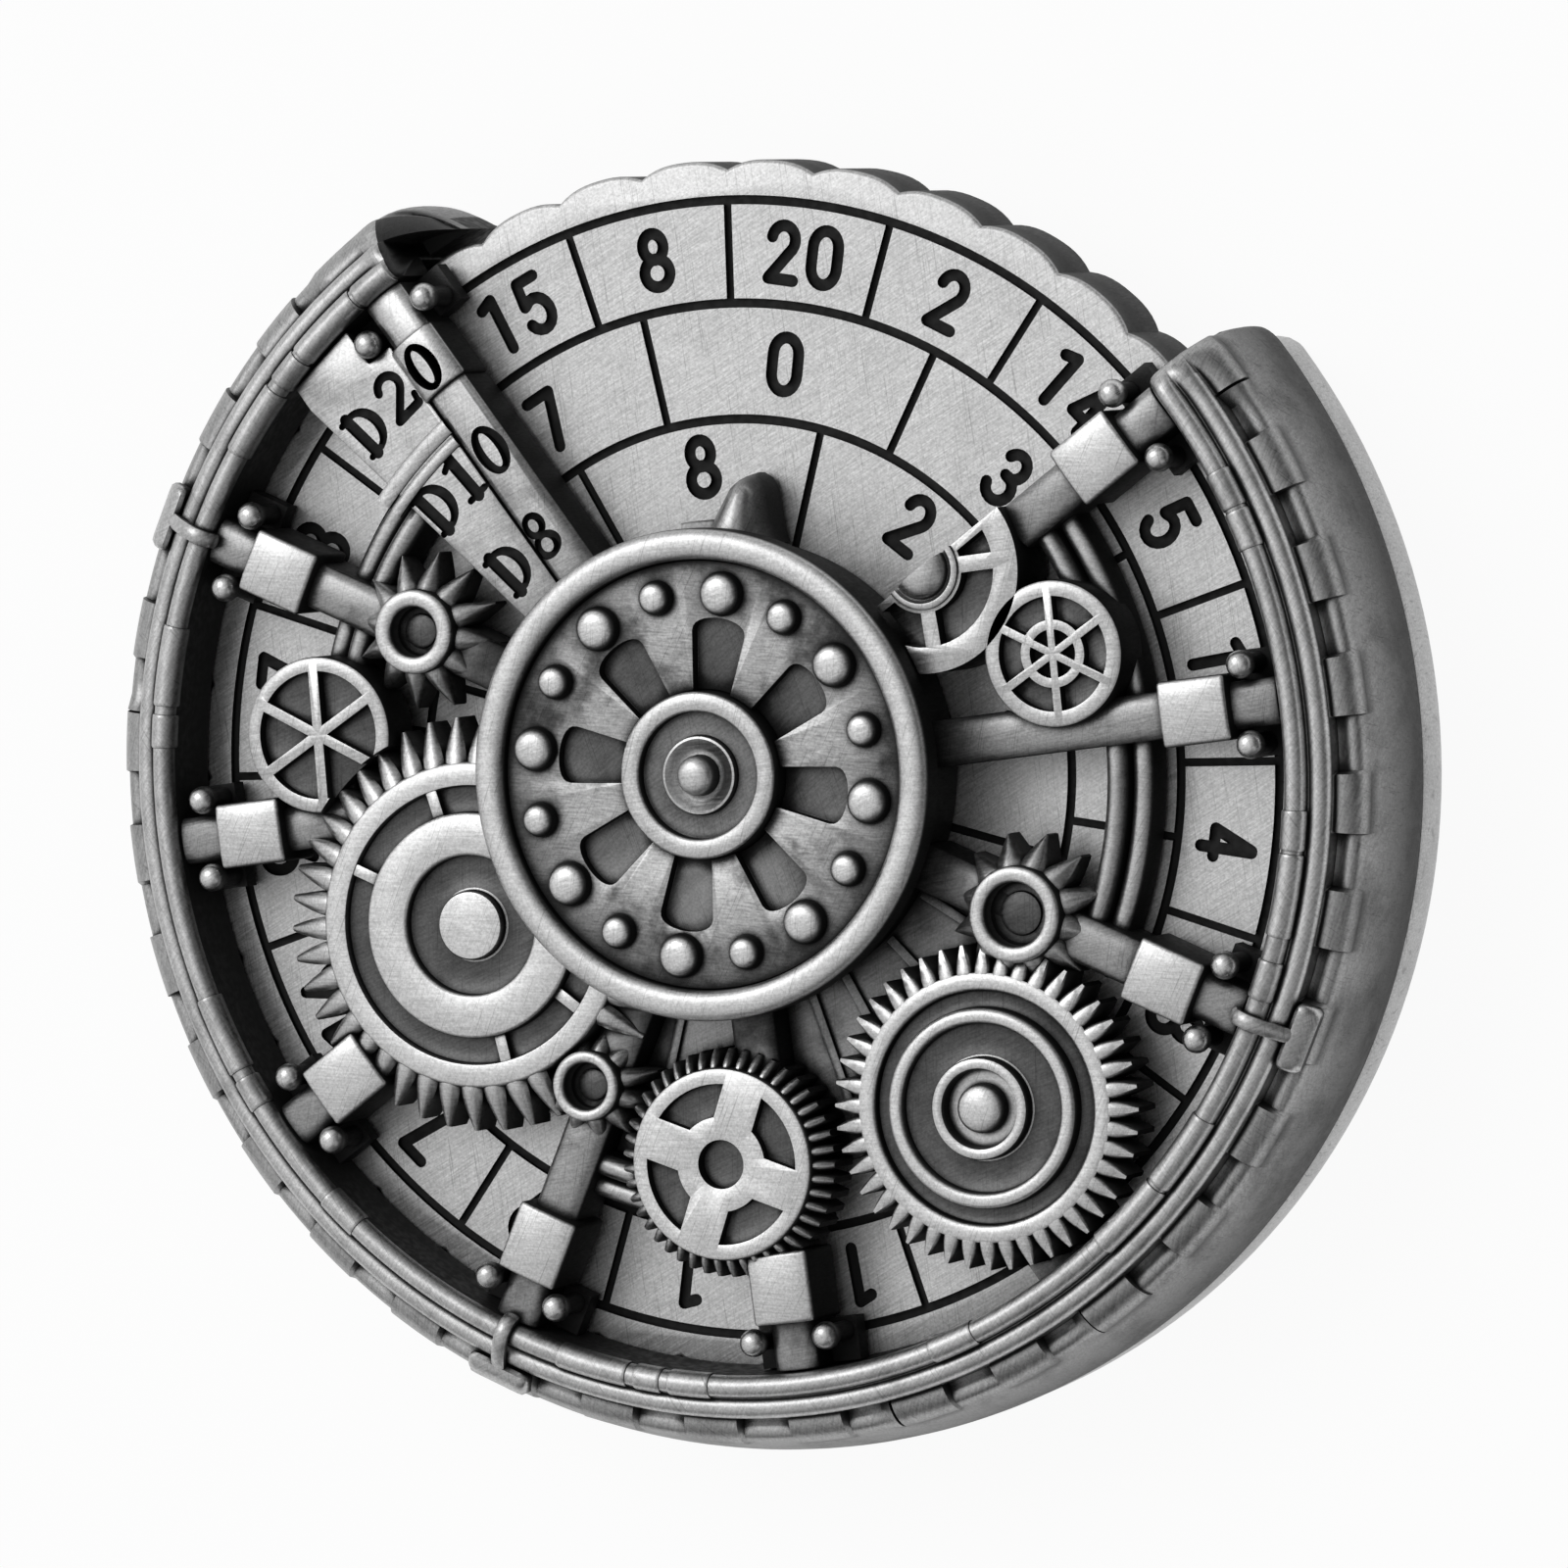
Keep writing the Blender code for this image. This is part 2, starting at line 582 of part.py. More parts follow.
for number in range(rivet_count):
    radius = LARGE_RIVET_RADIUS if number % 2 == 0 else SMALL_RIVET_RADIUS
    profile = [(0.0, cap_top - PETAL_DEPTH), (radius, cap_top - PETAL_DEPTH), (radius, cap_top),
               (0.75 * radius, cap_top + 0.7 * RIVET_RISE), (0.0, cap_top + RIVET_RISE)]
    place = at_heading(cap_radius - RIVET_INSET, 360.0 * number / rivet_count, 0.0)
    rivets.append(moved(turned(profile, 6, closed=False), place))
combine(hub_cap, tool("cast_rivets", merged(rivets)), "UNION")

# Hub boss: a turned button with a raised ring and a dome in the middle.
boss_top = cap_top + BOSS_RISE
boss_floor = cap_top + SEAT_GAP
boss_profile = [
    (0.0, cap_bottom),
    (BOSS_RADIUS, cap_bottom),
    (BOSS_RADIUS, boss_top),
    (BOSS_RADIUS - BOSS_RING_WIDTH, boss_top),
    (BOSS_RADIUS - BOSS_RING_WIDTH, boss_floor),
    (BOSS_STEP_RADIUS, boss_floor),
    (BOSS_STEP_RADIUS, boss_top - BOSS_RISE / 2),
    (BOSS_DOME_RADIUS, boss_top - BOSS_RISE / 2),
    (BOSS_DOME_RADIUS, boss_top),
    (BOSS_DOME_RADIUS * 0.7, boss_top + 0.7 * BOSS_DOME_RISE),
    (0.0, boss_top + BOSS_DOME_RISE),
]
piece("hub_boss", turned(boss_profile, 20, closed=False), BRIGHT_PEWTER, shell_body, True)

# Pointer: a rounded beak on the hub that reads the dial in the middle of the window.


def pointer_section(along, width, height):
    """A half-round section across the pointer."""
    turns = [math.radians(180 * index / 6) for index in range(7)]
    base = deck_bottom
    outline = [(width / 2 * math.cos(turn), base + height * math.sin(turn)) for turn in turns]
    return [on_spoke(along, across, level, 0.0) for across, level in outline]


pointer_share = (0.0, 0.35, 0.7, 1.0)
pointer_sections = []
for share in pointer_share:
    ease = share * share
    width = POINTER_WIDTH + (POINTER_TIP_WIDTH - POINTER_WIDTH) * ease
    height = POINTER_HEIGHT + (POINTER_TIP_HEIGHT - POINTER_HEIGHT) * ease
    pointer_sections.append(pointer_section(hub_seat_radius + POINTER_LENGTH * share, width, height))
piece("pointer", loft(pointer_sections), BRIGHT_PEWTER, shell_body, True)

# Deck: a low web between the hub and the rails that the lower gears stand on.
DECK_START = 3.5 * SPOKE_PITCH
DECK_END = 6.5 * SPOKE_PITCH
TONGUE_HEADING = 4.5 * SPOKE_PITCH
deck_outer = rail_inner - SEAT_GAP
deck_headings = [DECK_START + (DECK_END - DECK_START) * index / 18 for index in range(19)]
tongue_half_angle = math.degrees(math.asin(TONGUE_WIDTH / 2 / deck_outer))
tongue_end = math.sqrt(wall_radius ** 2 - (TONGUE_WIDTH / 2) ** 2)
deck_outline = [at_heading(hub_seat_radius, heading, 0)[:2] for heading in deck_headings]
for heading in reversed([h for h in deck_headings if h > TONGUE_HEADING + tongue_half_angle]):
    deck_outline.append(at_heading(deck_outer, heading, 0)[:2])
for along, across in ((deck_outer, 1), (tongue_end, 1), (tongue_end, -1), (deck_outer, -1)):
    deck_outline.append(on_spoke(along, across * TONGUE_WIDTH / 2, 0, TONGUE_HEADING)[:2])
for heading in reversed([h for h in deck_headings if h < TONGUE_HEADING - tongue_half_angle]):
    deck_outline.append(at_heading(deck_outer, heading, 0)[:2])
piece("gear_deck", slab(deck_outline, deck_bottom, deck_top), DARK_PEWTER, shell_body)


# Gears, pinions and wheels: where each stands, its reach and its levels.
def ornament(along, heading, tip, bottom, top):
    """The space that a gear or wheel takes up."""
    return {"centre": at_heading(along, heading, 0)[:2], "along": along, "tip": tip,
            "bottom": bottom, "top": top}


gears = {
    "left_gear": ornament(LEFT_GEAR_ALONG, -128.1, LEFT_GEAR_TIP, ornament_bottom, gear_top),
    "bottom_gear": ornament(BOTTOM_GEAR_ALONG, 171.0, BOTTOM_GEAR_TIP, ornament_bottom, gear_top),
    "right_gear": ornament(wall_radius - RIGHT_GEAR_GAP - RIGHT_GEAR_TIP, 131.2, RIGHT_GEAR_TIP,
                           collar_bottom, gear_top),
    "upper_left_pinion": ornament(UPPER_PINION_ALONG, -74.2, UPPER_PINION_TIP, ornament_bottom, gear_top),
    "lower_left_pinion": ornament(LOWER_PINION_ALONG, -163.8, LOWER_PINION_TIP, ornament_bottom, gear_top),
    "lower_right_pinion": ornament(RIGHT_PINION_ALONG, 104.9, RIGHT_PINION_TIP, ornament_bottom, gear_top),
    "left_wheel": ornament(RAIL_RADIUS + LEFT_WHEEL_SHIFT, -93.1, LEFT_WHEEL_RADIUS, wheel_bottom, wheel_top),
    "right_wheel": ornament(RAIL_RADIUS - RIGHT_WHEEL_SHIFT, 64.3, RIGHT_WHEEL_RADIUS, wheel_bottom,
                            wheel_top),
}
TEETH = {"left_gear": 42, "bottom_gear": 44, "right_gear": 44, "upper_left_pinion": 12,
         "lower_left_pinion": 11, "lower_right_pinion": 12}
TOOTH_LENGTH = {"left_gear": LEFT_TOOTH, "bottom_gear": BOTTOM_TOOTH, "right_gear": RIGHT_TOOTH,
                "upper_left_pinion": UPPER_PINION_TOOTH, "lower_left_pinion": LOWER_PINION_TOOTH,
                "lower_right_pinion": RIGHT_PINION_TOOTH}
PINION_RINGS = {"upper_left_pinion": UPPER_PINION_RING, "lower_left_pinion": LOWER_PINION_RING,
                "lower_right_pinion": RIGHT_PINION_RING}


STAR_TRIMS = (
    ("upper_left_pinion", "left_wheel"),
    ("upper_left_pinion", "left_gear"),
    ("lower_left_pinion", "bottom_gear"),
    ("lower_right_pinion", "right_gear"),
)
WHEEL_TRIMS = (
    ("left_gear", "lower_left_pinion"),
    ("left_wheel", "left_gear"),
    ("bottom_gear", "right_gear"),
)


def blocked(name, place):
    """Whether a tooth would stand in the hub or in a neighbour that a gear gives way to."""
    if math.hypot(*place) < bezel_outer + TRIM_GAP:
        return True
    for other, neighbour in STAR_TRIMS + WHEEL_TRIMS:
        centre = gears[neighbour]["centre"]
        reach = gears[neighbour]["tip"] + TRIM_GAP
        if other == name and math.hypot(place[0] - centre[0], place[1] - centre[1]) < reach:
            return True
    return False


def toothed_outline(name):
    """Pointed teeth round a gear, left out where a neighbour stands."""
    space = gears[name]
    centre = space["centre"]
    teeth = TEETH[name]
    root = space["tip"] - TOOTH_LENGTH[name]
    points = []
    for tooth in range(teeth):
        corners = []
        for radius, shift in ((root, -0.3), (space["tip"], 0.0), (root, 0.3)):
            turn = math.tau * (tooth + shift) / teeth
            corners.append((centre[0] + radius * math.cos(turn), centre[1] + radius * math.sin(turn)))
        if any(blocked(name, corner) for corner in corners):
            del corners[1]
        points += corners
    return points


ornaments = {}
for name in TEETH:
    space = gears[name]
    top = star_top if name in PINION_RINGS else space["top"]
    if name == "left_gear":
        top = space["top"] - LEFT_GEAR_STEP
    blank = slab(toothed_outline(name), space["bottom"], top)
    ornaments[name] = piece(name, blank, BRIGHT_PEWTER, shell_body)
for name in ("left_wheel", "right_wheel"):
    space = gears[name]
    disc = slab(circle(space["centre"], space["tip"], 32), space["bottom"], space["top"])
    ornaments[name] = piece(name, disc, BRIGHT_PEWTER, shell_body, round_piece=True)


def trim(thing, centre, radius, bottom, label):
    """Cut a piece clear of a round neighbour."""
    cutter = round_tool(f"{thing.name}_{label}", centre, radius + TRIM_GAP, bottom, bezel_top + BEZEL_HEIGHT)
    combine(thing, cutter, "DIFFERENCE")


def edge_distance(centre, first, second):
    """How near a straight plan edge passes to a centre."""
    run = (second[0] - first[0], second[1] - first[1])
    length = run[0] ** 2 + run[1] ** 2
    share = 0.0
    if length > 0.0:
        share = ((centre[0] - first[0]) * run[0] + (centre[1] - first[1]) * run[1]) / length
        share = min(1.0, max(0.0, share))
    return math.hypot(first[0] + share * run[0] - centre[0], first[1] + share * run[1] - centre[1])


def reaches(thing, centre, radius, bottom):
    """Whether a piece stands in a round space above a level."""
    for edge in thing.data.edges:
        ends = [thing.data.vertices[index].co for index in edge.vertices]
        if max(end.z for end in ends) > bottom and edge_distance(centre, *ends) < radius:
            return True
    return False


def trim_for_hub(thing, space):
    """Cut an ornament clear of the hub's bezel where it reaches that far in."""
    if space["along"] - space["tip"] < bezel_outer + TRIM_GAP:
        trim(thing, (0.0, 0.0), bezel_outer, space["bottom"] - DECK_THICKNESS, "hub")


def trim_for_rim(thing, space):
    """Cut an ornament clear of the rim where it reaches that far out."""
    if space["along"] + space["tip"] > wall_radius:
        far = outer_radius + space["tip"]
        combine(thing, ring_tool(f"{thing.name}_rim", (0.0, 0.0), wall_radius, far,
                                 space["bottom"] - DECK_THICKNESS, bezel_top, COVER_STEPS), "DIFFERENCE")


def trim_for_neighbour(name, neighbour):
    """Cut one ornament clear of another where they meet."""
    space = gears[neighbour]
    if reaches(ornaments[name], space["centre"], space["tip"] + TRIM_GAP, space["bottom"]):
        floor = gears[name]["bottom"] - DECK_THICKNESS
        trim(ornaments[name], space["centre"], space["tip"], floor, neighbour)


for name, neighbour in STAR_TRIMS:
    trim_for_neighbour(name, neighbour)

# Pinion rings: a raised hollow ring on each star.
ring_rise = gear_top - star_top
for name, radius in PINION_RINGS.items():
    space = gears[name]
    ring_foot = (space["bottom"] + star_top) / 2
    well_radius = PINION_WELL * radius
    ring = slab(circle(space["centre"], radius, 16), ring_foot, gear_top)
    well = slab(circle(space["centre"], well_radius, 16), star_top, gear_top + ring_rise)
    combine(ornaments[name], tool(f"{name}_ring", ring), "UNION")
    combine(ornaments[name], tool(f"{name}_well", well), "DIFFERENCE")
ring_centre = gears["lower_right_pinion"]["centre"]
if reaches(ornaments["right_gear"], ring_centre, RIGHT_PINION_RING + TRIM_GAP, ornament_bottom):
    trim(ornaments["right_gear"], ring_centre, RIGHT_PINION_RING, collar_bottom - DECK_THICKNESS, "pinion")

# Big gears: a dished face with raised rings and a boss inside.


def stepped_face(name, face, dish, ring, ring_width, boss):
    """Sink a gear's face, then stand a ring and a boss in the dish."""
    centre = gears[name]["centre"]
    floor = face - RELIEF_DEPTH
    foot = (gears[name]["bottom"] + floor) / 2
    sunk = slab(circle(centre, dish, 24), floor, gear_top + RELIEF_DEPTH)
    combine(ornaments[name], tool(f"{name}_dish", sunk), "DIFFERENCE")
    inner = ring - ring_width
    floor += SEAT_GAP
    profile = [(0.0, foot), (ring, foot), (ring, gear_top), (inner, gear_top), (inner, floor), (boss, floor),
               (boss, gear_top), (0.0, gear_top)]
    step = moved(turned(profile, 20, closed=False), (*centre, 0.0))
    combine(ornaments[name], tool(f"{name}_rings", step), "UNION")


stepped_face("left_gear", gear_top - LEFT_GEAR_STEP, LEFT_DISH_RADIUS, LEFT_RING_RADIUS, LEFT_RING_WIDTH,
             LEFT_BOSS_RADIUS)
stepped_face("right_gear", gear_top, RIGHT_DISH_RADIUS, RIGHT_RING_RADIUS, RIGHT_RING_WIDTH,
             RIGHT_BOSS_RADIUS)

# Windowed faces: sector recesses that leave spokes standing in a gear or wheel.


def sector(centre, inner, outer, middle, sweep, steps=3):
    """Plan outline of a window between two spokes."""
    points = []
    for radius, order in ((outer, 1), (inner, -1)):
        margin = math.asin(WINDOW_SPOKE / 2 / radius)
        first = middle - sweep / 2 + margin
        turns = [first + (sweep - 2 * margin) * index / steps for index in range(steps + 1)]
        for turn in turns[::order]:
            points.append((centre[0] + radius * math.cos(turn), centre[1] + radius * math.sin(turn)))
    return points


def window_tool(name, centre, inner, outer, count, top, start=0.0, whole=math.tau, hole=0.0):
    """Recesses for a row of windows, with an optional recess in the middle."""
    floor = top - RELIEF_DEPTH
    sweep = whole / count
    recesses = []
    for number in range(count):
        plan = sector(centre, inner, outer, start + sweep * (number + 0.5), sweep)
        recesses.append(slab(plan, floor, top + RELIEF_DEPTH))
    if hole > 0.0:
        recesses.append(slab(circle(centre, hole, 12), floor, top + RELIEF_DEPTH))
    return tool(f"{name}_windows", merged(recesses))


space = gears["bottom_gear"]
root = space["tip"] - TOOTH_LENGTH["bottom_gear"]
windows = window_tool("bottom_gear", space["centre"], 0.46 * root, root - WINDOW_RIM, 4, space["top"],
                      math.radians(BOTTOM_GEAR_TURN), hole=0.25 * root)
combine(ornaments["bottom_gear"], windows, "DIFFERENCE")
for name in ("left_wheel", "right_wheel"):
    space = gears[name]
    windows = window_tool(name, space["centre"], 0.36 * space["tip"], space["tip"] - WINDOW_RIM, 6,
                          space["top"], math.radians(WHEEL_TURN))
    combine(ornaments[name], windows, "DIFFERENCE")

# Trims: gears and wheels are cut back where the hub, the rim or a neighbour stands.
for name, neighbour in WHEEL_TRIMS:
    trim_for_neighbour(name, neighbour)
for name, thing in ornaments.items():
    trim_for_hub(thing, gears[name])
    trim_for_rim(thing, gears[name])

# Half wheel: half a spoked wheel whose cut edge lines up with a spoke's side.
HALF_WHEEL_HEADING = 1.5 * SPOKE_PITCH
half_turns = [math.radians(180 * index / 20) for index in range(21)]


def half_disc(radius):
    """Plan outline of a half disc on the spoke's clockwise side."""
    places = [(HALF_WHEEL_ALONG + radius * math.cos(turn), radius * math.sin(turn) - half_spoke)
              for turn in half_turns]
    return [on_spoke(along, across, 0, HALF_WHEEL_HEADING)[:2] for along, across in places]


half_wheel = piece("half_wheel", slab(half_disc(HALF_WHEEL_RADIUS), spoke_bottom, wheel_top),
                   BRIGHT_PEWTER, shell_body, round_piece=True)
half_centre = on_spoke(HALF_WHEEL_ALONG, -half_spoke, 0, HALF_WHEEL_HEADING)[:2]
half_start = math.radians(90 - HALF_WHEEL_HEADING) - math.pi
half_space = {"centre": half_centre, "along": HALF_WHEEL_ALONG, "tip": HALF_WHEEL_RADIUS,
              "bottom": spoke_bottom, "top": wheel_top}
trim_for_hub(half_wheel, half_space)
if reaches(half_wheel, gears["right_wheel"]["centre"], gears["right_wheel"]["tip"] + TRIM_GAP, spoke_bottom):
    trim(half_wheel, gears["right_wheel"]["centre"], gears["right_wheel"]["tip"], deck_top, "right_wheel")
windows = window_tool("half_wheel", half_centre, 1.3 * HALF_DOME_RADIUS, HALF_WHEEL_RADIUS - WINDOW_RIM, 4,
                      wheel_top, half_start, math.pi)
combine(half_wheel, windows, "DIFFERENCE")

# Spokes: crowned bars from the hub to the rim, each with a square collar near its outer end.
half_collar = half_spoke + COLLAR_WALL


def bar_section(along, half_width, bottom, top, heading):
    """A bar's cross-section with a crowned top."""
    outline = [(-half_width, bottom), (half_width, bottom), (half_width, top - SPOKE_CROWN),
               (0.5 * half_width, top - 0.3 * SPOKE_CROWN), (-0.5 * half_width, top - 0.3 * SPOKE_CROWN),
               (-half_width, top - SPOKE_CROWN)]
    return [on_spoke(along, across, level, heading) for across, level in outline]


spoke_end = math.sqrt(wall_radius ** 2 - half_spoke ** 2)
SPOKE_NUMBERS = (1.5, 2.5, 3.5, 5.5, 6.5, 7.5, 8.5, 9.5, 10.5)
spokes = {}
for position, number in enumerate(SPOKE_NUMBERS):
    heading = number * SPOKE_PITCH
    start = hub_seat_radius
    if position == 0:
        start = HALF_WHEEL_ALONG + HALF_WHEEL_RADIUS + TRIM_GAP
    sections = [
        bar_section(start, half_spoke, spoke_bottom, spoke_top, heading),
        bar_section(collar_start, half_spoke, spoke_bottom, spoke_top, heading),
        bar_section(collar_start, half_collar, collar_bottom, collar_top, heading),
        bar_section(collar_end, half_collar, collar_bottom, collar_top, heading),
        bar_section(collar_end, half_spoke, spoke_bottom, spoke_top, heading),
        bar_section(spoke_end, half_spoke, spoke_bottom, spoke_top, heading),
    ]
    spokes[position] = piece(f"spoke_{position + 1}", loft(sections), BRIGHT_PEWTER, shell_body)

# Rails: short curved tracks with two ribs, between neighbouring spokes.
plate_start = bezel_outer + TRIM_GAP
plate_end = lip_radius - ANCHOR_LENGTH


def plate_width(along):
    """How far the label plate reaches from its spoke's middle, at a distance out."""
    share = (along - plate_start) / (plate_end - plate_start)
    return PLATE_INNER_WIDTH + (PLATE_OUTER_WIDTH - PLATE_INNER_WIDTH) * share


def plate_side(radius):
    """The label plate's reach where a circle crosses its long edge."""
    width = PLATE_OUTER_WIDTH
    for _ in range(6):
        width = plate_width(math.sqrt(radius ** 2 - width ** 2))
    return width


rib_floor = rail_top - RAIL_RIB_HEIGHT
rail_outline = [(rail_inner, deck_bottom), (rail_outer, deck_bottom), (rail_outer, rail_top),
                (rail_outer - RAIL_RIB_WIDTH, rail_top), (rail_outer - RAIL_RIB_WIDTH, rib_floor),
                (rail_inner + RAIL_RIB_WIDTH, rib_floor), (rail_inner + RAIL_RIB_WIDTH, rail_top),
                (rail_inner, rail_top)]
RAIL_NUMBERS = (1.5, 2.5, 5.5, 8.5, 9.5)
rail_steps = 6
rails = {}
for position, number in enumerate(RAIL_NUMBERS):
    beside_plate = position == len(RAIL_NUMBERS) - 1
    sections = []
    for step in range(rail_steps + 1):
        section = []
        for radius, level in rail_outline:
            side = half_collar if rail_outer > collar_start - SEAT_GAP else half_spoke
            first = math.degrees(math.asin((side + SEAT_GAP) / radius))
            last = first
            if beside_plate:
                last = math.degrees(math.asin((plate_side(radius) + SEAT_GAP) / radius))
            span = SPOKE_PITCH - first - last
            section.append(at_heading(radius, number * SPOKE_PITCH + first + span * step / rail_steps, level))
        sections.append(section)
    rails[position] = piece(f"rail_{position + 1}", loft(sections), DARK_PEWTER, shell_body)

# Notches: spokes and rails are cut down where gears and wheels cross them.
for thing in list(spokes.values()) + list(rails.values()):
    for name, space in gears.items():
        floor = space["bottom"] - SEAT_GAP
        if name == "right_gear":
            floor = deck_bottom
        if reaches(thing, space["centre"], space["tip"] + TRIM_GAP, floor):
            trim(thing, space["centre"], space["tip"], floor, name)

# Label plate: a wedge beside the last spoke, stepped round the collar and the stud.
stud_side = stud_across + STUD_HEAD_RADIUS + SEAT_GAP
collar_side = half_collar + SEAT_GAP
spoke_side = half_spoke + SEAT_GAP
LABEL_HEADING = SPOKE_NUMBERS[-1] * SPOKE_PITCH
outer_width = plate_width(plate_end)
plate_plan = [
    (plate_start, -spoke_side),
    (collar_start - SEAT_GAP, -spoke_side),
    (collar_start - SEAT_GAP, -collar_side),
    (collar_end + SEAT_GAP, -collar_side),
    (collar_end + SEAT_GAP, -stud_side),
    (math.sqrt(wall_radius ** 2 - stud_side ** 2), -stud_side),
    (math.sqrt(wall_radius ** 2 - outer_width ** 2), -outer_width),
    (plate_end, -outer_width),
    (plate_start, -PLATE_INNER_WIDTH),
]
plate_outline = [on_spoke(along, across, 0, LABEL_HEADING)[:2] for along, across in plate_plan]
piece("label_plate", slab(plate_outline, collar_bottom, spoke_top - PLATE_DROP), BRIGHT_PEWTER, shell_body)

# Anchors: a foot under each spoke's outer end, with a ball stud on either side.
anchor_half = stud_across + STUD_HEAD_RADIUS
anchor_end = math.sqrt(wall_radius ** 2 - anchor_half ** 2)
anchor_start = min(lip_radius - ANCHOR_LENGTH, stud_along - STUD_HEAD_RADIUS)
stud_centre = spoke_top + STUD_RISE
stud_neck = math.sqrt(STUD_HEAD_RADIUS ** 2 - STUD_POST_RADIUS ** 2)
for position, number in enumerate(SPOKE_NUMBERS):
    heading = number * SPOKE_PITCH
    foot_plan = [(anchor_start, -anchor_half), (anchor_start, anchor_half), (anchor_end, anchor_half),
                 (anchor_end, -anchor_half)]
    foot_outline = [on_spoke(along, across, 0, heading)[:2] for along, across in foot_plan]
    foot = slab(foot_outline, deck_bottom, deck_top)
    anchor = piece(f"anchor_{position + 1}", foot, DARK_PEWTER, shell_body)
    studs = []
    for side in (-1, 1):
        profile = [(0.0, (deck_bottom + deck_top) / 2), (STUD_POST_RADIUS, (deck_bottom + deck_top) / 2),
                   (STUD_POST_RADIUS, stud_centre - stud_neck), (STUD_HEAD_RADIUS, stud_centre),
                   (0.72 * STUD_HEAD_RADIUS, stud_centre + 0.7 * STUD_HEAD_RADIUS),
                   (0.0, stud_centre + STUD_HEAD_RADIUS)]
        place = on_spoke(stud_along, side * stud_across, 0, heading)
        studs.append(moved(turned(profile, 6, closed=False), place))
    combine(anchor, tool(f"studs_{position + 1}", merged(studs)), "UNION")

# Straps: thin clips over the rim's pipes, widening to a head on the shoulder.
STRAP_NUMBERS = (3.5, 6.5, 9.5)
shoulder_radius = lip_radius + INNER_PIPE_WIDTH + OUTER_PIPE_WIDTH
for position, number in enumerate(STRAP_NUMBERS):
    heading = number * SPOKE_PITCH
    stations = [
        (lip_radius, STRAP_WIDTH, rim_top),
        (lip_radius + INNER_PIPE_WIDTH, STRAP_WIDTH, rim_top),
        (shoulder_radius, STRAP_WIDTH, rim_top - PIPE_STEP),
        (shoulder_radius + STRAP_FLARE, STRAP_HEAD_WIDTH, rim_top - PIPE_STEP - STRAP_FALL / 5),
        (shoulder_radius + STRAP_HEAD_LENGTH, STRAP_HEAD_WIDTH, rim_top - PIPE_STEP - STRAP_FALL),
    ]
    sections = []
    for along, width, level in stations:
        low = level + SEAT_GAP
        high = low + STRAP_THICKNESS
        corners = ((-width / 2, low), (width / 2, low), (width / 2, high), (-width / 2, high))
        sections.append([on_spoke(along, across, height, heading) for across, height in corners])
    piece(f"rim_strap_{position + 1}", loft(sections), BRIGHT_PEWTER, shell_body)

# Cover screws: three small screws from behind, through the cover's edge into the shell.
SCREW_HEADINGS = (90.0, 180.0, 270.0)
screw_circle = (channel_radius + outer_radius) / 2
head_top = COVER_HEAD_HEIGHT + SEAT_GAP
screw_end = shell_bottom + COVER_SCREW_REACH
screw_steps = 10
screw_clear = SEAT_GAP / math.cos(math.pi / screw_steps)


def screw_profile(grow, start, end):
    """A headed screw's outline, or its hole's when grown."""
    return [(0.0, start), (COVER_HEAD_RADIUS + grow, start), (COVER_HEAD_RADIUS + grow, head_top + grow),
            (COVER_SCREW_RADIUS + grow, head_top + grow), (COVER_SCREW_RADIUS + grow, end), (0.0, end)]


cover_holes = []
shell_holes = []
for position, heading in enumerate(SCREW_HEADINGS):
    place = at_heading(screw_circle, heading, 0.0)
    screw = turned(screw_profile(0.0, SEAT_GAP, screw_end), screw_steps, closed=False)
    piece(f"cover_screw_{position + 1}", moved(screw, place), SCREW_STEEL, shell_body, True)
    hole_outline = screw_profile(screw_clear, -COVER_HEAD_HEIGHT, shell_bottom + COVER_RIM_HEIGHT)
    hole = turned(hole_outline, screw_steps, closed=False)
    cover_holes.append(moved(hole, place))
    blind = [(0.0, COVER_THICKNESS), (COVER_SCREW_RADIUS + screw_clear, COVER_THICKNESS),
             (COVER_SCREW_RADIUS + screw_clear, screw_end + screw_clear), (0.0, screw_end + screw_clear)]
    shell_holes.append(moved(turned(blind, screw_steps, closed=False), place))
combine(back_cover, tool("cover_screw_holes", merged(cover_holes)), "DIFFERENCE")
combine(front_shell, tool("shell_screw_holes", merged(shell_holes)), "DIFFERENCE")
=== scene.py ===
"""Pocket dice spinner in antiqued pewter: the visible pieces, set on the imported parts."""

import json
import math

import bmesh
import bpy
from mathutils import Matrix

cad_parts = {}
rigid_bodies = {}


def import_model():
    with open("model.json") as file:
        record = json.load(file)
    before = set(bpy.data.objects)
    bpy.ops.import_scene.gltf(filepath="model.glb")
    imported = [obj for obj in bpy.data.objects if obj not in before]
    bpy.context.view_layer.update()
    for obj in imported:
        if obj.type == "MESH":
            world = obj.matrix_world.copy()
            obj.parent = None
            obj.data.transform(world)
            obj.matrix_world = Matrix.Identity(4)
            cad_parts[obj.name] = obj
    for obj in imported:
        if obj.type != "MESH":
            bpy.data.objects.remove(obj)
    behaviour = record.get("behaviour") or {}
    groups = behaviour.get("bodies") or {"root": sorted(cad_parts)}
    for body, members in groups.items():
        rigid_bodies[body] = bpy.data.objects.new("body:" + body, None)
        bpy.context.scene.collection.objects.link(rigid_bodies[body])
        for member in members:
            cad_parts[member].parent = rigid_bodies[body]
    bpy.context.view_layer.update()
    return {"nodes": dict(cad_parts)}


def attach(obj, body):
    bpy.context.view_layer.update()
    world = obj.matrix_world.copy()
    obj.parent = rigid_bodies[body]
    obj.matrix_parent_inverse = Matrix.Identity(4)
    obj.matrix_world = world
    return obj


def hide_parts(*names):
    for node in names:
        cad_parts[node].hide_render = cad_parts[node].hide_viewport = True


for leftover in list(bpy.data.objects):
    bpy.data.objects.remove(leftover)
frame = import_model()


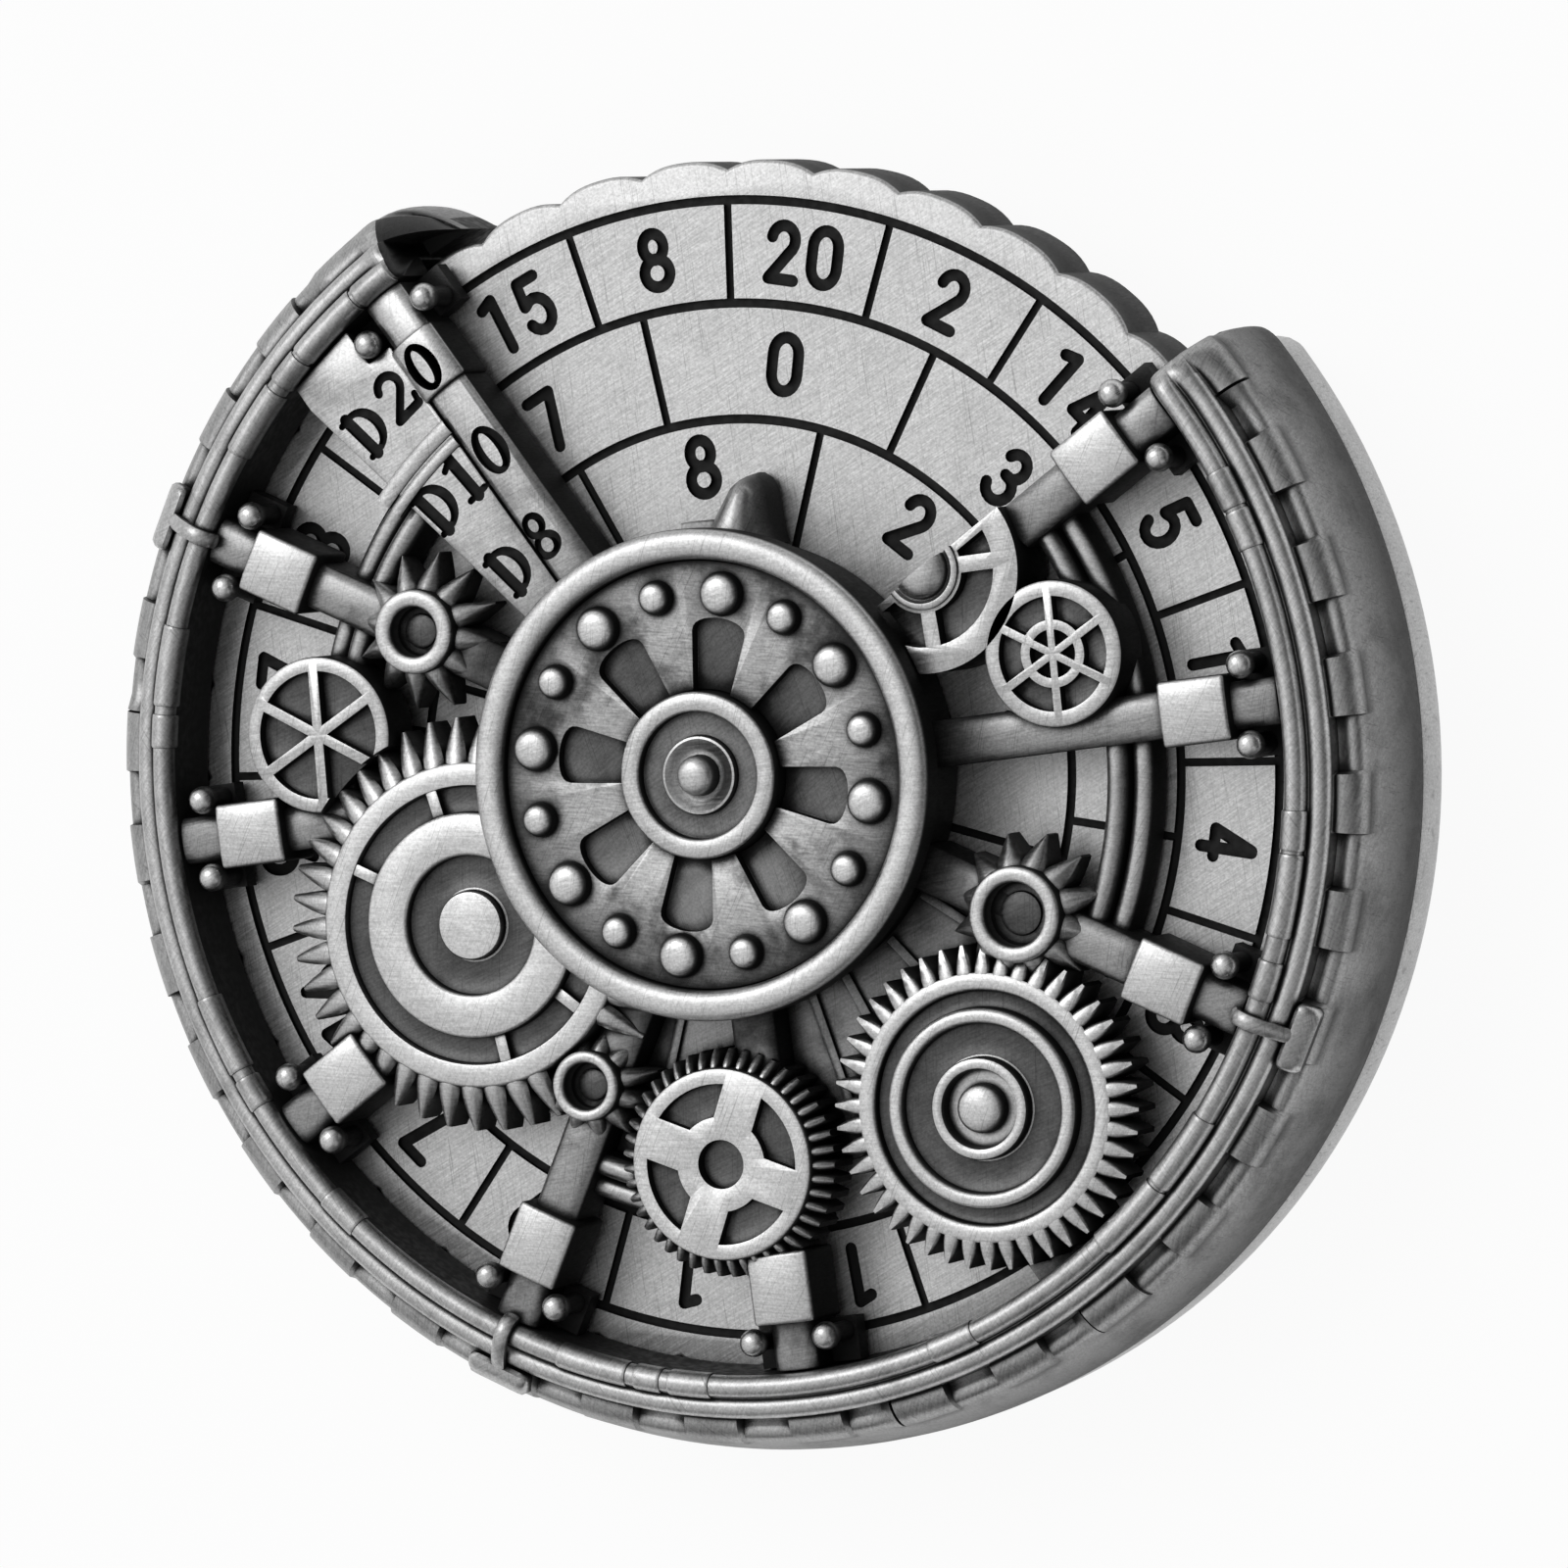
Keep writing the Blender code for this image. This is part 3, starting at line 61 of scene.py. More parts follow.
# Back cover: the cast dish that closes the shell from behind, cut away at the window.
# Zinc alloy with an antiqued pewter finish, turned true on its outer edge after casting.
# It presses against the shell's rim and is held there by three small screws.
MM = 0.001
WINDOW_HALF_ANGLE = 42.0
BEVEL_ANGLE = 38.0
CREASE_ANGLE = 40.0
SCREW_CIRCLE = 26.865
SCREW_HEADINGS = (90.0, 180.0, 270.0)


def spot_at(radius, heading):
    """A plan point at a heading, clockwise from the middle of the window."""
    turn = math.radians(heading)
    return (radius * math.sin(turn), radius * math.cos(turn))


def polar(radius, heading, height):
    """A point at a heading and a height."""
    return (*spot_at(radius, heading), height)


def spun(profile, steps, centre=(0.0, 0.0), first=0.0, sweep=360.0, ring=False):
    """Turn a radius and height outline about an upright axis."""
    shape = bmesh.new()
    outline = list(profile) + ([profile[0]] if ring else [])
    rows = []
    for index in range(steps + 1):
        heading = first + sweep * index / steps
        rows.append([shape.verts.new(polar(radius, heading, level)) for radius, level in outline])
    for row, after in zip(rows, rows[1:]):
        for index in range(len(outline) - 1):
            shape.faces.new((row[index], row[index + 1], after[index + 1], after[index]))
    if sweep < 360.0:
        shape.faces.new(rows[0])
        shape.faces.new(rows[-1][::-1])
    bmesh.ops.remove_doubles(shape, verts=shape.verts, dist=0.0005)
    bmesh.ops.translate(shape, vec=(centre[0], centre[1], 0.0), verts=shape.verts)
    return shape


def loft(rows):
    """A closed solid through a row of like sections, with flat ends."""
    shape = bmesh.new()
    made = [[shape.verts.new(point) for point in row] for row in rows]
    for row, after in zip(made, made[1:]):
        for index in range(len(row)):
            following = (index + 1) % len(row)
            shape.faces.new((row[index], row[following], after[following], after[index]))
    shape.faces.new(made[0][::-1])
    shape.faces.new(made[-1])
    return shape


def slab(outline, bottom, top):
    """A straight-sided plate of a plan outline."""
    return loft([[(x, y, level) for x, y in outline] for level in (bottom, top)])


def gathered(shapes):
    """Several shapes in one."""
    whole = bmesh.new()
    for shape in shapes:
        bmesh.ops.recalc_face_normals(shape, faces=shape.faces)
        mesh = bpy.data.meshes.new("gathered")
        shape.to_mesh(mesh)
        shape.free()
        whole.from_mesh(mesh)
        bpy.data.meshes.remove(mesh)
    return whole


def cast(name, shape, *finishes):
    """Turn a shape drawn in millimetres into an object in metres."""
    bmesh.ops.scale(shape, vec=(MM, MM, MM), verts=shape.verts)
    bmesh.ops.recalc_face_normals(shape, faces=shape.faces)
    mesh = bpy.data.meshes.new(name)
    shape.to_mesh(mesh)
    shape.free()
    thing = bpy.data.objects.new(name, mesh)
    bpy.context.scene.collection.objects.link(thing)
    for finish in finishes:
        mesh.materials.append(finish)
    return thing


def settle(thing):
    """Make a piece's modifiers part of its plain mesh."""
    bpy.context.view_layer.update()
    seen = thing.evaluated_get(bpy.context.evaluated_depsgraph_get())
    mesh = bpy.data.meshes.new_from_object(seen)
    thing.modifiers.clear()
    thing.data = mesh
    return thing


def carve(thing, cutter, overlapping=False):
    """Cut a piece with a tool, whose finish shows on the cut faces."""
    modifier = thing.modifiers.new("carve", "BOOLEAN")
    modifier.object = cutter
    modifier.operation = "DIFFERENCE"
    modifier.solver = "EXACT"
    modifier.material_mode = "TRANSFER"
    modifier.use_self = overlapping
    settle(thing)
    bpy.data.objects.remove(cutter)
    return thing


def soften(thing, width, steps=2):
    """Round a piece's hard edges over, as casting and wear leave them."""
    modifier = thing.modifiers.new("soften", "BEVEL")
    modifier.width = width * MM
    modifier.segments = steps
    modifier.limit_method = "ANGLE"
    modifier.angle_limit = math.radians(BEVEL_ANGLE)
    modifier.miter_outer = "MITER_ARC"
    return settle(thing)


def fit(thing, *nodes, slot="bright_pewter", body="shell"):
    """Smooth a finished piece, set it on its body and let it stand for its solids."""
    thing.data.shade_smooth()
    thing.data.set_sharp_from_angle(angle=math.radians(CREASE_ANGLE))
    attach(thing, body)
    if nodes:
        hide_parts(*nodes)
    return thing


def join(tree, node, links):
    """Join a node's inputs to sockets, or give them values."""
    for socket, value in links:
        if isinstance(value, bpy.types.NodeSocket):
            tree.links.new(value, node.inputs[socket])
        else:
            node.inputs[socket].default_value = value


def add_node(tree, kind, links=(), **settings):
    """A new node with its settings, joined up."""
    made = tree.nodes.new(kind)
    for name, value in settings.items():
        setattr(made, name, value)
    join(tree, made, links)
    return made


def ranged(tree, value, low, high, out_low=0.0, out_high=1.0, kind="SMOOTHSTEP"):
    """A value read between two limits."""
    limits = [("From Min", low), ("From Max", high), ("To Min", out_low), ("To Max", out_high)]
    return add_node(tree, "ShaderNodeMapRange", [("Value", value)] + limits,
                    interpolation_type=kind).outputs["Result"]


def reckoned(tree, operation, *values):
    """Values put together."""
    return add_node(tree, "ShaderNodeMath", enumerate(values), operation=operation).outputs[0]


def vectors(tree, operation, *values):
    """Vectors put together; a length, distance or dot product comes back as a value."""
    made = add_node(tree, "ShaderNodeVectorMath", enumerate(values), operation=operation)
    return made.outputs["Value" if operation in ("LENGTH", "DISTANCE", "DOT_PRODUCT") else "Vector"]


def noise(tree, place, scale, detail, roughness=0.5):
    """Cloudy noise at a scale."""
    return add_node(tree, "ShaderNodeTexNoise", [("Vector", place), ("Scale", scale), ("Detail", detail),
                                                 ("Roughness", roughness)]).outputs["Fac"]


def brushed(tree, place, turn, size, detail, roughness=0.5):
    """Noise drawn out in one direction, as a brush leaves it; the size is one mark's, in millimetres."""
    drawn = add_node(tree, "ShaderNodeMapping", [("Vector", place), ("Rotation", (0.0, 0.0, math.radians(turn))),
                                                 ("Scale", [side * MM for side in size])], vector_type="TEXTURE")
    return noise(tree, drawn.outputs["Vector"], 1.0, detail, roughness)


def grey(tone):
    """A neutral colour."""
    return (tone, tone, tone, 1.0)


def even_colour(tree, tone):
    """A neutral colour from a node's value."""
    return add_node(tree, "ShaderNodeCombineColor", [(channel, tone) for channel in range(3)]).outputs[0]


def bumped(tree, height, strength, distance):
    """A normal that follows a height."""
    return add_node(tree, "ShaderNodeBump", [("Strength", strength), ("Distance", distance),
                                             ("Height", height)]).outputs["Normal"]


def new_finish(name):
    """An empty material, with its node tree, its shader and the place on the piece."""
    material = bpy.data.materials.new(name)
    material.use_nodes = True
    tree = material.node_tree
    return material, tree, tree.nodes["Principled BSDF"], add_node(tree, "ShaderNodeTexCoord").outputs["Object"]


def pewter(name, worn, aged, brush_turn=0.0, side_shade=(0.1, 0.7), cavity=0.6, alone=False,
           rough=0.36, streaks=0.2, blotches=0.25, brush=(1.3, 0.075), fade=None):
    """Antiqued pewter: bright where it is rubbed, grey where it is sheltered, black in the corners; the dark in
    hollows and near other parts is black patina with painted shade, and faces that turn from up get painted shade.
    """
    material, tree, shader, place = new_finish(name)
    tarnish = noise(tree, place, 420.0, 5.0, 0.62)
    brushing = brushed(tree, place, brush_turn, (*brush, 0.4), 3.0, 0.6)
    scratches = brushed(tree, place, brush_turn + 68.0, (2.6, 0.045, 0.5), 1.0)
    grain = noise(tree, place, 9000.0, 3.0, 0.65)
    # Ambient occlusion darkens hollows and places close to other parts: black patina with painted shade.
    hollow = add_node(tree, "ShaderNodeAmbientOcclusion", [("Distance", cavity * MM)],
                      samples=8, only_local=alone).outputs["AO"]
    wear_and_shade = ranged(tree, hollow, 0.42, 0.94)
    # Faces that turn sideways or down are made darker than faces that look up: painted shade.
    if side_shade:
        normal = add_node(tree, "ShaderNodeNewGeometry").outputs["Normal"]
        facing = add_node(tree, "ShaderNodeSeparateXYZ", [(0, normal)]).outputs["Z"]
        wear_and_shade = reckoned(tree, "MULTIPLY", wear_and_shade, ranged(tree, facing, *side_shade))
    wear_and_shade = reckoned(tree, "MULTIPLY", wear_and_shade, ranged(tree, tarnish, 0.42, 0.7, 1.0, 1.0 - blotches))
    if fade:
        near, far, least = fade
        reach = vectors(tree, "LENGTH", vectors(tree, "MULTIPLY", place, (1.0, 1.0, 0.0)))
        wear_and_shade = reckoned(tree, "MULTIPLY", wear_and_shade, ranged(tree, reach, near * MM, far * MM, 1.0, least))
    ramp = add_node(tree, "ShaderNodeValToRGB", [("Fac", wear_and_shade)])
    stops = ramp.color_ramp.elements
    stops[0].color, stops[1].color = grey(0.008), grey(worn)
    for share, tone in ((0.3, 0.45 * aged), (0.55, aged + 0.25 * (worn - aged)), (0.8, 0.88 * worn)):
        stops.new(share).color = grey(tone)
    streak = ranged(tree, brushing, 0.3, 0.7, 1.0 - streaks, 1.0 + 0.6 * streaks, "LINEAR")
    fleck = ranged(tree, grain, 0.3, 0.7, 0.76, 1.16, "LINEAR")
    scratch = ranged(tree, scratches, 0.62, 0.72, 1.0, 0.7, "LINEAR")
    tone = reckoned(tree, "MULTIPLY", reckoned(tree, "MULTIPLY", streak, fleck), scratch)
    colour = add_node(tree, "ShaderNodeMix", [(0, 1.0), (6, ramp.outputs["Color"]), (7, even_colour(tree, tone))],
                      data_type="RGBA", blend_type="MULTIPLY").outputs[2]
    uneven = ranged(tree, brushing, 0.3, 0.7, -0.06, 0.08, "LINEAR")
    relief = reckoned(tree, "ADD", reckoned(tree, "MULTIPLY", brushing, 0.6), reckoned(tree, "MULTIPLY", grain, 0.5))
    join(tree, shader, [
        ("Base Color", colour), ("Metallic", ranged(tree, wear_and_shade, 0.0, 0.45, 0.15, 1.0)),
        ("Roughness", reckoned(tree, "ADD", ranged(tree, wear_and_shade, 0.0, 0.8, 0.62, rough), uneven)),
        ("Specular IOR Level", 0.2), ("Normal", bumped(tree, relief, 0.35, 0.000014))])
    return material


def circle(centre, radius, steps):
    """Plan points round a circle."""
    turns = [math.tau * index / steps for index in range(steps)]
    return [(centre[0] + radius * math.sin(turn), centre[1] + radius * math.cos(turn)) for turn in turns]


cover_finish = pewter("cover_pewter", worn=0.45, aged=0.15, brush_turn=20.0, side_shade=None, cavity=0.35,
                      alone=True, rough=0.42, blotches=0.2)
cover_profile = [(0.0, 0.0), (27.2, 0.0), (27.48, 0.06), (27.7, 0.22), (27.84, 0.45), (27.93, 0.8), (27.99, 1.3),
                 (28.02, 1.9), (28.01, 2.5), (27.97, 2.8), (27.86, 2.96), (27.68, 3.02), (27.4, 3.02), (27.3, 2.75),
                 (25.3, 2.75), (25.3, 1.6), (4.0, 1.6), (4.0, 3.05), (2.95, 3.05), (2.95, 6.2), (0.0, 6.2)]
back_cover = cast("back_cover_casting", spun(cover_profile, 192), cover_finish)
corner = ((26.7, 42.0), (27.15, 42.4), (27.5, 43.2), (27.78, 44.3), (27.95, 45.6), (28.15, 47.5), (34.0, 50.0))
window_plan = [spot_at(22.45, WINDOW_HALF_ANGLE * (index / 20 - 1.0)) for index in range(41)]
window_plan += [spot_at(radius, heading) for radius, heading in corner]
window_plan += [spot_at(45.0, heading) for heading in (40.0, 20.0, 0.0, -20.0, -40.0)]
window_plan += [spot_at(radius, -heading) for radius, heading in reversed(corner)]
cover_cuts = [slab(window_plan, -2.0, 5.0)]
cover_cuts += [slab(circle(spot_at(SCREW_CIRCLE, heading), 0.82, 24), -1.0, 0.7) for heading in SCREW_HEADINGS]
carve(back_cover, cast("cover_cuts", gathered(cover_cuts), cover_finish))
soften(back_cover, 0.12)
fit(back_cover, "back_cover", slot="dark_pewter")


# Cover screws: three small cross-head machine screws that hold the cover to the shell.
# Blackened steel, sunk level with the cover's back.
# They stand a quarter turn apart, on the widest part of the rim.
def row_tree():
    """A node tree that repeats a shape at even headings about a centre."""
    tree = bpy.data.node_groups.new("row_about_a_centre", "GeometryNodeTree")
    ports = tree.interface
    ports.new_socket("Geometry", in_out="INPUT", socket_type="NodeSocketGeometry")
    for name, kind in (("Count", "Int"), ("Radius", "Float"), ("First Heading", "Float"), ("Pitch", "Float"),
                       ("Centre", "Vector"), ("Hub Clearance", "Float"), ("Neighbour", "Vector"),
                       ("Neighbour Clearance", "Float"), ("Finish", "Material")):
        ports.new_socket(name, in_out="INPUT", socket_type="NodeSocket" + kind)
    ports.new_socket("Geometry", in_out="OUTPUT", socket_type="NodeSocketGeometry")
    given = tree.nodes.new("NodeGroupInput").outputs
    number = add_node(tree, "GeometryNodeInputIndex").outputs[0]
    turn = reckoned(tree, "RADIANS", reckoned(tree, "MULTIPLY_ADD", number, given["Pitch"], given["First Heading"]))
    sideways, ahead = reckoned(tree, "SINE", turn), reckoned(tree, "COSINE", turn)
    outward = add_node(tree, "ShaderNodeCombineXYZ", [(0, sideways), (1, ahead)]).outputs[0]
    spot = vectors(tree, "ADD", vectors(tree, "MULTIPLY", outward, given["Radius"]), given["Centre"])
    gaps = ((vectors(tree, "LENGTH", spot), given["Hub Clearance"]),
            (vectors(tree, "DISTANCE", spot, given["Neighbour"]), given["Neighbour Clearance"]))
    clear = [add_node(tree, "FunctionNodeCompare", [("A", gap), ("B", least)],
                      data_type="FLOAT", operation="GREATER_EQUAL").outputs[0] for gap, least in gaps]
    keep = add_node(tree, "FunctionNodeBooleanMath", enumerate(clear), operation="AND").outputs[0]
    angles = add_node(tree, "ShaderNodeCombineXYZ", [(2, reckoned(tree, "MULTIPLY", turn, -1.0))]).outputs[0]
    facing = add_node(tree, "FunctionNodeEulerToRotation", [(0, angles)]).outputs[0]
    spots = add_node(tree, "GeometryNodePoints", [("Count", given["Count"]), ("Position", spot)]).outputs[0]
    placed = add_node(tree, "GeometryNodeInstanceOnPoints",
                      [("Points", spots), ("Selection", keep), ("Instance", given["Geometry"]),
                       ("Rotation", facing)]).outputs[0]
    solid = add_node(tree, "GeometryNodeRealizeInstances", [("Geometry", placed)]).outputs[0]
    done = add_node(tree, "GeometryNodeSetMaterial", [("Geometry", solid), ("Material", given["Finish"])])
    tree.links.new(done.outputs[0], tree.nodes.new("NodeGroupOutput").inputs[0])
    return tree


ROW_TREE = row_tree()


def in_row(thing, count, radius, first, pitch, centre=(0.0, 0.0), hub=0.0, neighbour=(0.0, 0.0),
           neighbour_clear=0.0):
    """Repeat a piece's shape at even headings, and keep the result as its plain mesh."""
    modifier = thing.modifiers.new("row", "NODES")
    modifier.node_group = ROW_TREE
    values = {"Count": count, "Radius": radius * MM, "First Heading": first, "Pitch": pitch,
              "Centre": (centre[0] * MM, centre[1] * MM, 0.0), "Hub Clearance": hub * MM,
              "Neighbour": (neighbour[0] * MM, neighbour[1] * MM, 0.0),
              "Neighbour Clearance": neighbour_clear * MM, "Finish": thing.data.materials[0]}
    for port in ROW_TREE.interface.items_tree:
        if port.in_out == "INPUT" and port.name in values:
            modifier[port.identifier] = values[port.name]
    return settle(thing)


def rectangle(left, right, low, high):
    """The four corners of a rectangle."""
    return [(left, low), (right, low), (right, high), (left, high)]


screw_finish = pewter("screw_steel_blackened", worn=0.3, aged=0.1, brush_turn=70.0, side_shade=None, cavity=0.4,
                      alone=True, rough=0.34)
screw_profile = [(0.0, 0.06), (0.62, 0.06), (0.71, 0.1), (0.75, 0.18), (0.75, 0.65), (0.45, 0.68), (0.45, 5.2),
                 (0.0, 5.2)]
cover_screws = cast("cover_screws", spun(screw_profile, 32), screw_finish)
cross = [slab(rectangle(-wide, wide, -tall, tall), -0.5, 0.34) for wide, tall in ((0.09, 0.45), (0.45, 0.09))]
carve(cover_screws, cast("screw_cross", gathered(cross), screw_finish), overlapping=True)
in_row(cover_screws, len(SCREW_HEADINGS), SCREW_CIRCLE, SCREW_HEADINGS[0], 90.0)
fit(cover_screws, "cover_screw_1", "cover_screw_2", "cover_screw_3", slot="screw_steel")


# Ball bearing and axle screw: hidden inside the hub, where the dial turns on them.
# Ground bearing steel for races and balls, a pressed brass cage, and a blackened screw.
# The outer race is pressed into the dial and the inner race onto the cover's post.
bearing_finish = pewter("ground_bearing_steel", worn=0.62, aged=0.4, side_shade=None, cavity=0.3,
                        alone=True, rough=0.2, streaks=0.12, blotches=0.1)


def clouded(name, dark, bright, scale, detail, dullness, relief, *others):
    """A finish that goes between two colours in clouds, with roughness and bump to match."""
    material, tree, shader, place = new_finish(name)
    cloud = noise(tree, place, scale, detail)
    ramp = add_node(tree, "ShaderNodeValToRGB", [("Fac", cloud)])
    stops = ramp.color_ramp.elements
    stops[0].color, stops[1].color = dark, bright
    join(tree, shader, [("Base Color", ramp.outputs["Color"]), ("Roughness", ranged(tree, cloud, 0.3, 0.7, *dullness)),
                        ("Normal", bumped(tree, cloud, *relief)), *others])
    return material


brass_finish = clouded("pressed_brass", (0.34, 0.22, 0.08, 1.0), (0.72, 0.55, 0.27, 1.0), 900.0, 4.0,
                       (0.28, 0.45), (0.2, 0.00001), ("Metallic", 1.0))
hidden = {"bearing_cage": brass_finish, "axle_screw": screw_finish, "bearing_outer_race": bearing_finish,
          "bearing_inner_race": bearing_finish}
hidden.update({f"bearing_ball_{number}": bearing_finish for number in range(1, 8)})
for node, finish in hidden.items():
    frame["nodes"][node].material_slots[0].material = finish


# Number dial: the disc that is spun, with three rings of numbers cut into its face.
# Cast pewter, brushed on a slant, with black filling in the cut lines and numbers.
# Forty rounded lobes on its edge give the thumb a grip in the window.
DIAL_FACE = 6.7
DIAL_RADIUS = 24.85
DIAL_BORE = 6.55
LOBES = 40
LOBE_STEPS = 12
LOBE_DEPTH = 0.4
RING_LINES = (23.2, 19.0, 14.28)
RING_WIDTH = 0.38
CELL_LINE_HALF = 0.17
LINE_BOTTOM = DIAL_FACE - 0.26
CUT_TOP = 7.2
STROKE = 0.5
DIGIT_GAP = 0.24
DIGIT_HEIGHT = 2.2
DIGIT_WIDTH = 1.12


def beside(along, across, height, heading):
    """A point in a heading's own directions: outward, clockwise and up."""
    turn = math.radians(heading)
    return (along * math.sin(turn) + across * math.cos(turn), along * math.cos(turn) - across * math.sin(turn),
            height)


def on_plan(points, heading):
    """Plan points, given outward and across, at a heading."""
    return [beside(along, across, 0.0, heading)[:2] for along, across in points]


def bow(cx, cy, rx, ry, start, end, steps=14):
    """Points of an elliptic arc, angles in degrees anticlockwise from the right."""
    turns = [math.radians(start + (end - start) * index / steps) for index in range(steps + 1)]
    return [(cx + rx * math.cos(turn), cy + ry * math.sin(turn)) for turn in turns]


def digit_lines(digit):
    """The centre lines of a plain engraved digit, in a box one high and one wide."""
    lines = {
        "0": [bow(0.5, 0.68, 0.5, 0.32, 0, 180) + bow(0.5, 0.32, 0.5, 0.32, 180, 360) + [(1.0, 0.68)]],
        "1": [[(0.14, 0.9), (0.62, 1.0)], [(0.62, 1.0), (0.62, 0.0)]],
        "2": [bow(0.48, 0.73, 0.46, 0.27, 172, -32) + [(0.02, 0.0)], [(0.02, 0.0), (1.0, 0.0)]],
        "3": [bow(0.45, 0.755, 0.43, 0.245, 160, -80) + [(0.36, 0.52)], bow(0.45, 0.265, 0.5, 0.265, 82, -160)],
        "4": [[(0.62, 1.0), (0.0, 0.26)], [(0.0, 0.26), (1.0, 0.26)], [(0.68, 1.0), (0.68, 0.0)]],
        "5": [[(0.9, 1.0), (0.16, 1.0)], [(0.16, 1.0), (0.08, 0.54)],
              [(0.08, 0.54)] + bow(0.47, 0.31, 0.5, 0.31, 125, -155)],
        "6": [[(0.72, 1.0), (0.2, 0.52)] + bow(0.5, 0.3, 0.5, 0.3, 150, 215, 5), bow(0.5, 0.3, 0.5, 0.3, 0, 360, 28)],
        "7": [[(0.0, 1.0), (0.98, 1.0)], [(0.98, 1.0), (0.34, 0.0)]],
        "8": [bow(0.5, 0.755, 0.41, 0.245, 0, 360, 24), bow(0.5, 0.26, 0.5, 0.26, 0, 360, 28)],
        "9": [[(0.28, 0.0), (0.8, 0.48)] + bow(0.5, 0.7, 0.5, 0.3, -30, 35, 5), bow(0.5, 0.7, 0.5, 0.3, 0, 360, 28)],
    }
    return lines[digit]


def ring_cutter(outside, inside, bottom, top, heading, along):
    """A closed cutter between two outlines with as many points, drawn across and outward at a heading."""
    rows = [[beside(along + y, x, level, heading) for (x, y), level in
             ((outer, bottom), (inner, bottom), (inner, top), (outer, top))]
            for outer, inner in zip(outside + outside[:1], inside + inside[:1])]
    shape = bmesh.new()
    made = [[shape.verts.new(point) for point in row] for row in rows]
    for row, following in zip(made, made[1:]):
        for index in range(4):
            shape.faces.new((row[index], row[(index + 1) % 4], following[(index + 1) % 4], following[index]))
    bmesh.ops.remove_doubles(shape, verts=shape.verts, dist=0.0005)
    return shape


def channel(points, width, bottom, top, heading, along):
    """A round-ended cutter that follows a line drawn across and outward at a heading."""
    half = width / 2
    closed = math.dist(points[0], points[-1]) < 1e-6
    if closed:
        points = points[:-1]
    count = len(points)
    left, right = [], []
    for index in range(count):
        before = points[index - 1] if closed or index > 0 else points[0]
        after = points[(index + 1) % count] if closed or index < count - 1 else points[-1]
        run = math.dist(before, after)
        nx, ny = -(after[1] - before[1]) / run, (after[0] - before[0]) / run
        left.append((points[index][0] + nx * half, points[index][1] + ny * half))
        right.append((points[index][0] - nx * half, points[index][1] - ny * half))
    if closed:
        return ring_cutter(left, right, bottom, top, heading, along)
    plan = list(left)
    for end, toward in ((points[-1], left[-1]), (points[0], right[0])):
        start = math.atan2(toward[1] - end[1], toward[0] - end[0])
        plan += [(end[0] + half * math.cos(start - math.pi * step / 6),
                  end[1] + half * math.sin(start - math.pi * step / 6)) for step in range(1, 6)]
        if end is points[-1]:
            plan += right[::-1]
    return slab(on_plan([(along + y, x) for x, y in plan], heading), bottom, top)


def number_cutters(text, along, heading):
    """Cutters for a number that stands across a heading, its top outward."""
    pitch = DIGIT_WIDTH + STROKE + DIGIT_GAP
    cutters = []
    for place, digit in enumerate(text):
        shift = (place - (len(text) - 1) / 2) * pitch - DIGIT_WIDTH / 2
        for line in digit_lines(digit):
            points = [(shift + x * DIGIT_WIDTH, (y - 0.5) * DIGIT_HEIGHT) for x, y in line]
            cutters.append(channel(points, STROKE, DIAL_FACE - 0.28, DIAL_FACE + 0.5, heading, along))
    return cutters


def black_filling(name, tone=0.006):
    """Black enamel rubbed into cut lines, dull and a little uneven."""
    return clouded(name, grey(0.4 * tone), grey(2.2 * tone), 3500.0, 3.0, (0.5, 0.75), (0.3, 0.00002),
                   ("Specular IOR Level", 0.25))


dial_finish = pewter("brushed_dial_pewter", worn=0.6, aged=0.22, brush_turn=38.0, side_shade=(-0.1, 0.8), cavity=0.3,
                     alone=True, rough=0.46, streaks=0.26, blotches=0.1, brush=(1.1, 0.06))
dial_filling = black_filling("dial_black_filling")
dial_rows = []
for level, draw_in in ((3.0, 0.2), (3.06, 0.08), (3.2, 0.0), (6.5, 0.0), (6.62, 0.05), (6.68, 0.12),
                       (DIAL_FACE, 0.2)):
    row = []
    for index in range(LOBES * LOBE_STEPS):
        from_top = abs(2.0 * (index / LOBE_STEPS % 1.0) - 1.0)
        radius = DIAL_RADIUS - LOBE_DEPTH * from_top ** 2.6 - draw_in
        row.append(polar(radius, 360.0 / LOBES * index / LOBE_STEPS, level))
    dial_rows.append(row)
number_dial = cast("number_dial_face", loft(dial_rows), dial_finish)
cuts = [slab(circle((0.0, 0.0), DIAL_BORE, 96), 2.0, 8.0)]
for radius in RING_LINES:
    inner, outer = radius - RING_WIDTH / 2, radius + RING_WIDTH / 2
    cuts.append(spun(rectangle(inner, outer, LINE_BOTTOM, CUT_TOP), 240, ring=True))
twenty = ("15", "8", "20", "2", "14", "5", "12", "4", "18", "11", "6", "13", "1", "19", "7", "16", "9", "17", "3",
          "10")
ten = ("0", "3", "8", "5", "2", "9", "6", "1", "4", "7")
eight = ("8", "2", "5", "3", "1", "7", "4", "6")
outer_line, middle_line, inner_line = RING_LINES
cells = [(text, -45.0 + 18.0 * place, 18.0, middle_line, outer_line, 21.1) for place, text in enumerate(twenty)]
cells.append((ten[0], -21.0, 40.0, inner_line, middle_line, 16.6))
for place, text in enumerate(ten[1:]):
    cells.append((text, 19.0 + 320.0 / 9.0 * place, 320.0 / 9.0, inner_line, middle_line, 16.6))
cells += [(text, -38.5 + 45.0 * place, 45.0, 8.0, inner_line, 12.45) for place, text in enumerate(eight)]
for text, first, wide, inner, outer, middle in cells:
    line_plan = rectangle(inner, outer, -CELL_LINE_HALF, CELL_LINE_HALF)
    cuts.append(slab(on_plan(line_plan, first), LINE_BOTTOM, CUT_TOP))
    cuts += number_cutters(text, middle, first + wide / 2)
carve(number_dial, cast("dial_cuts", gathered(cuts), dial_filling), overlapping=True)
fit(number_dial, "number_dial", body="dial")
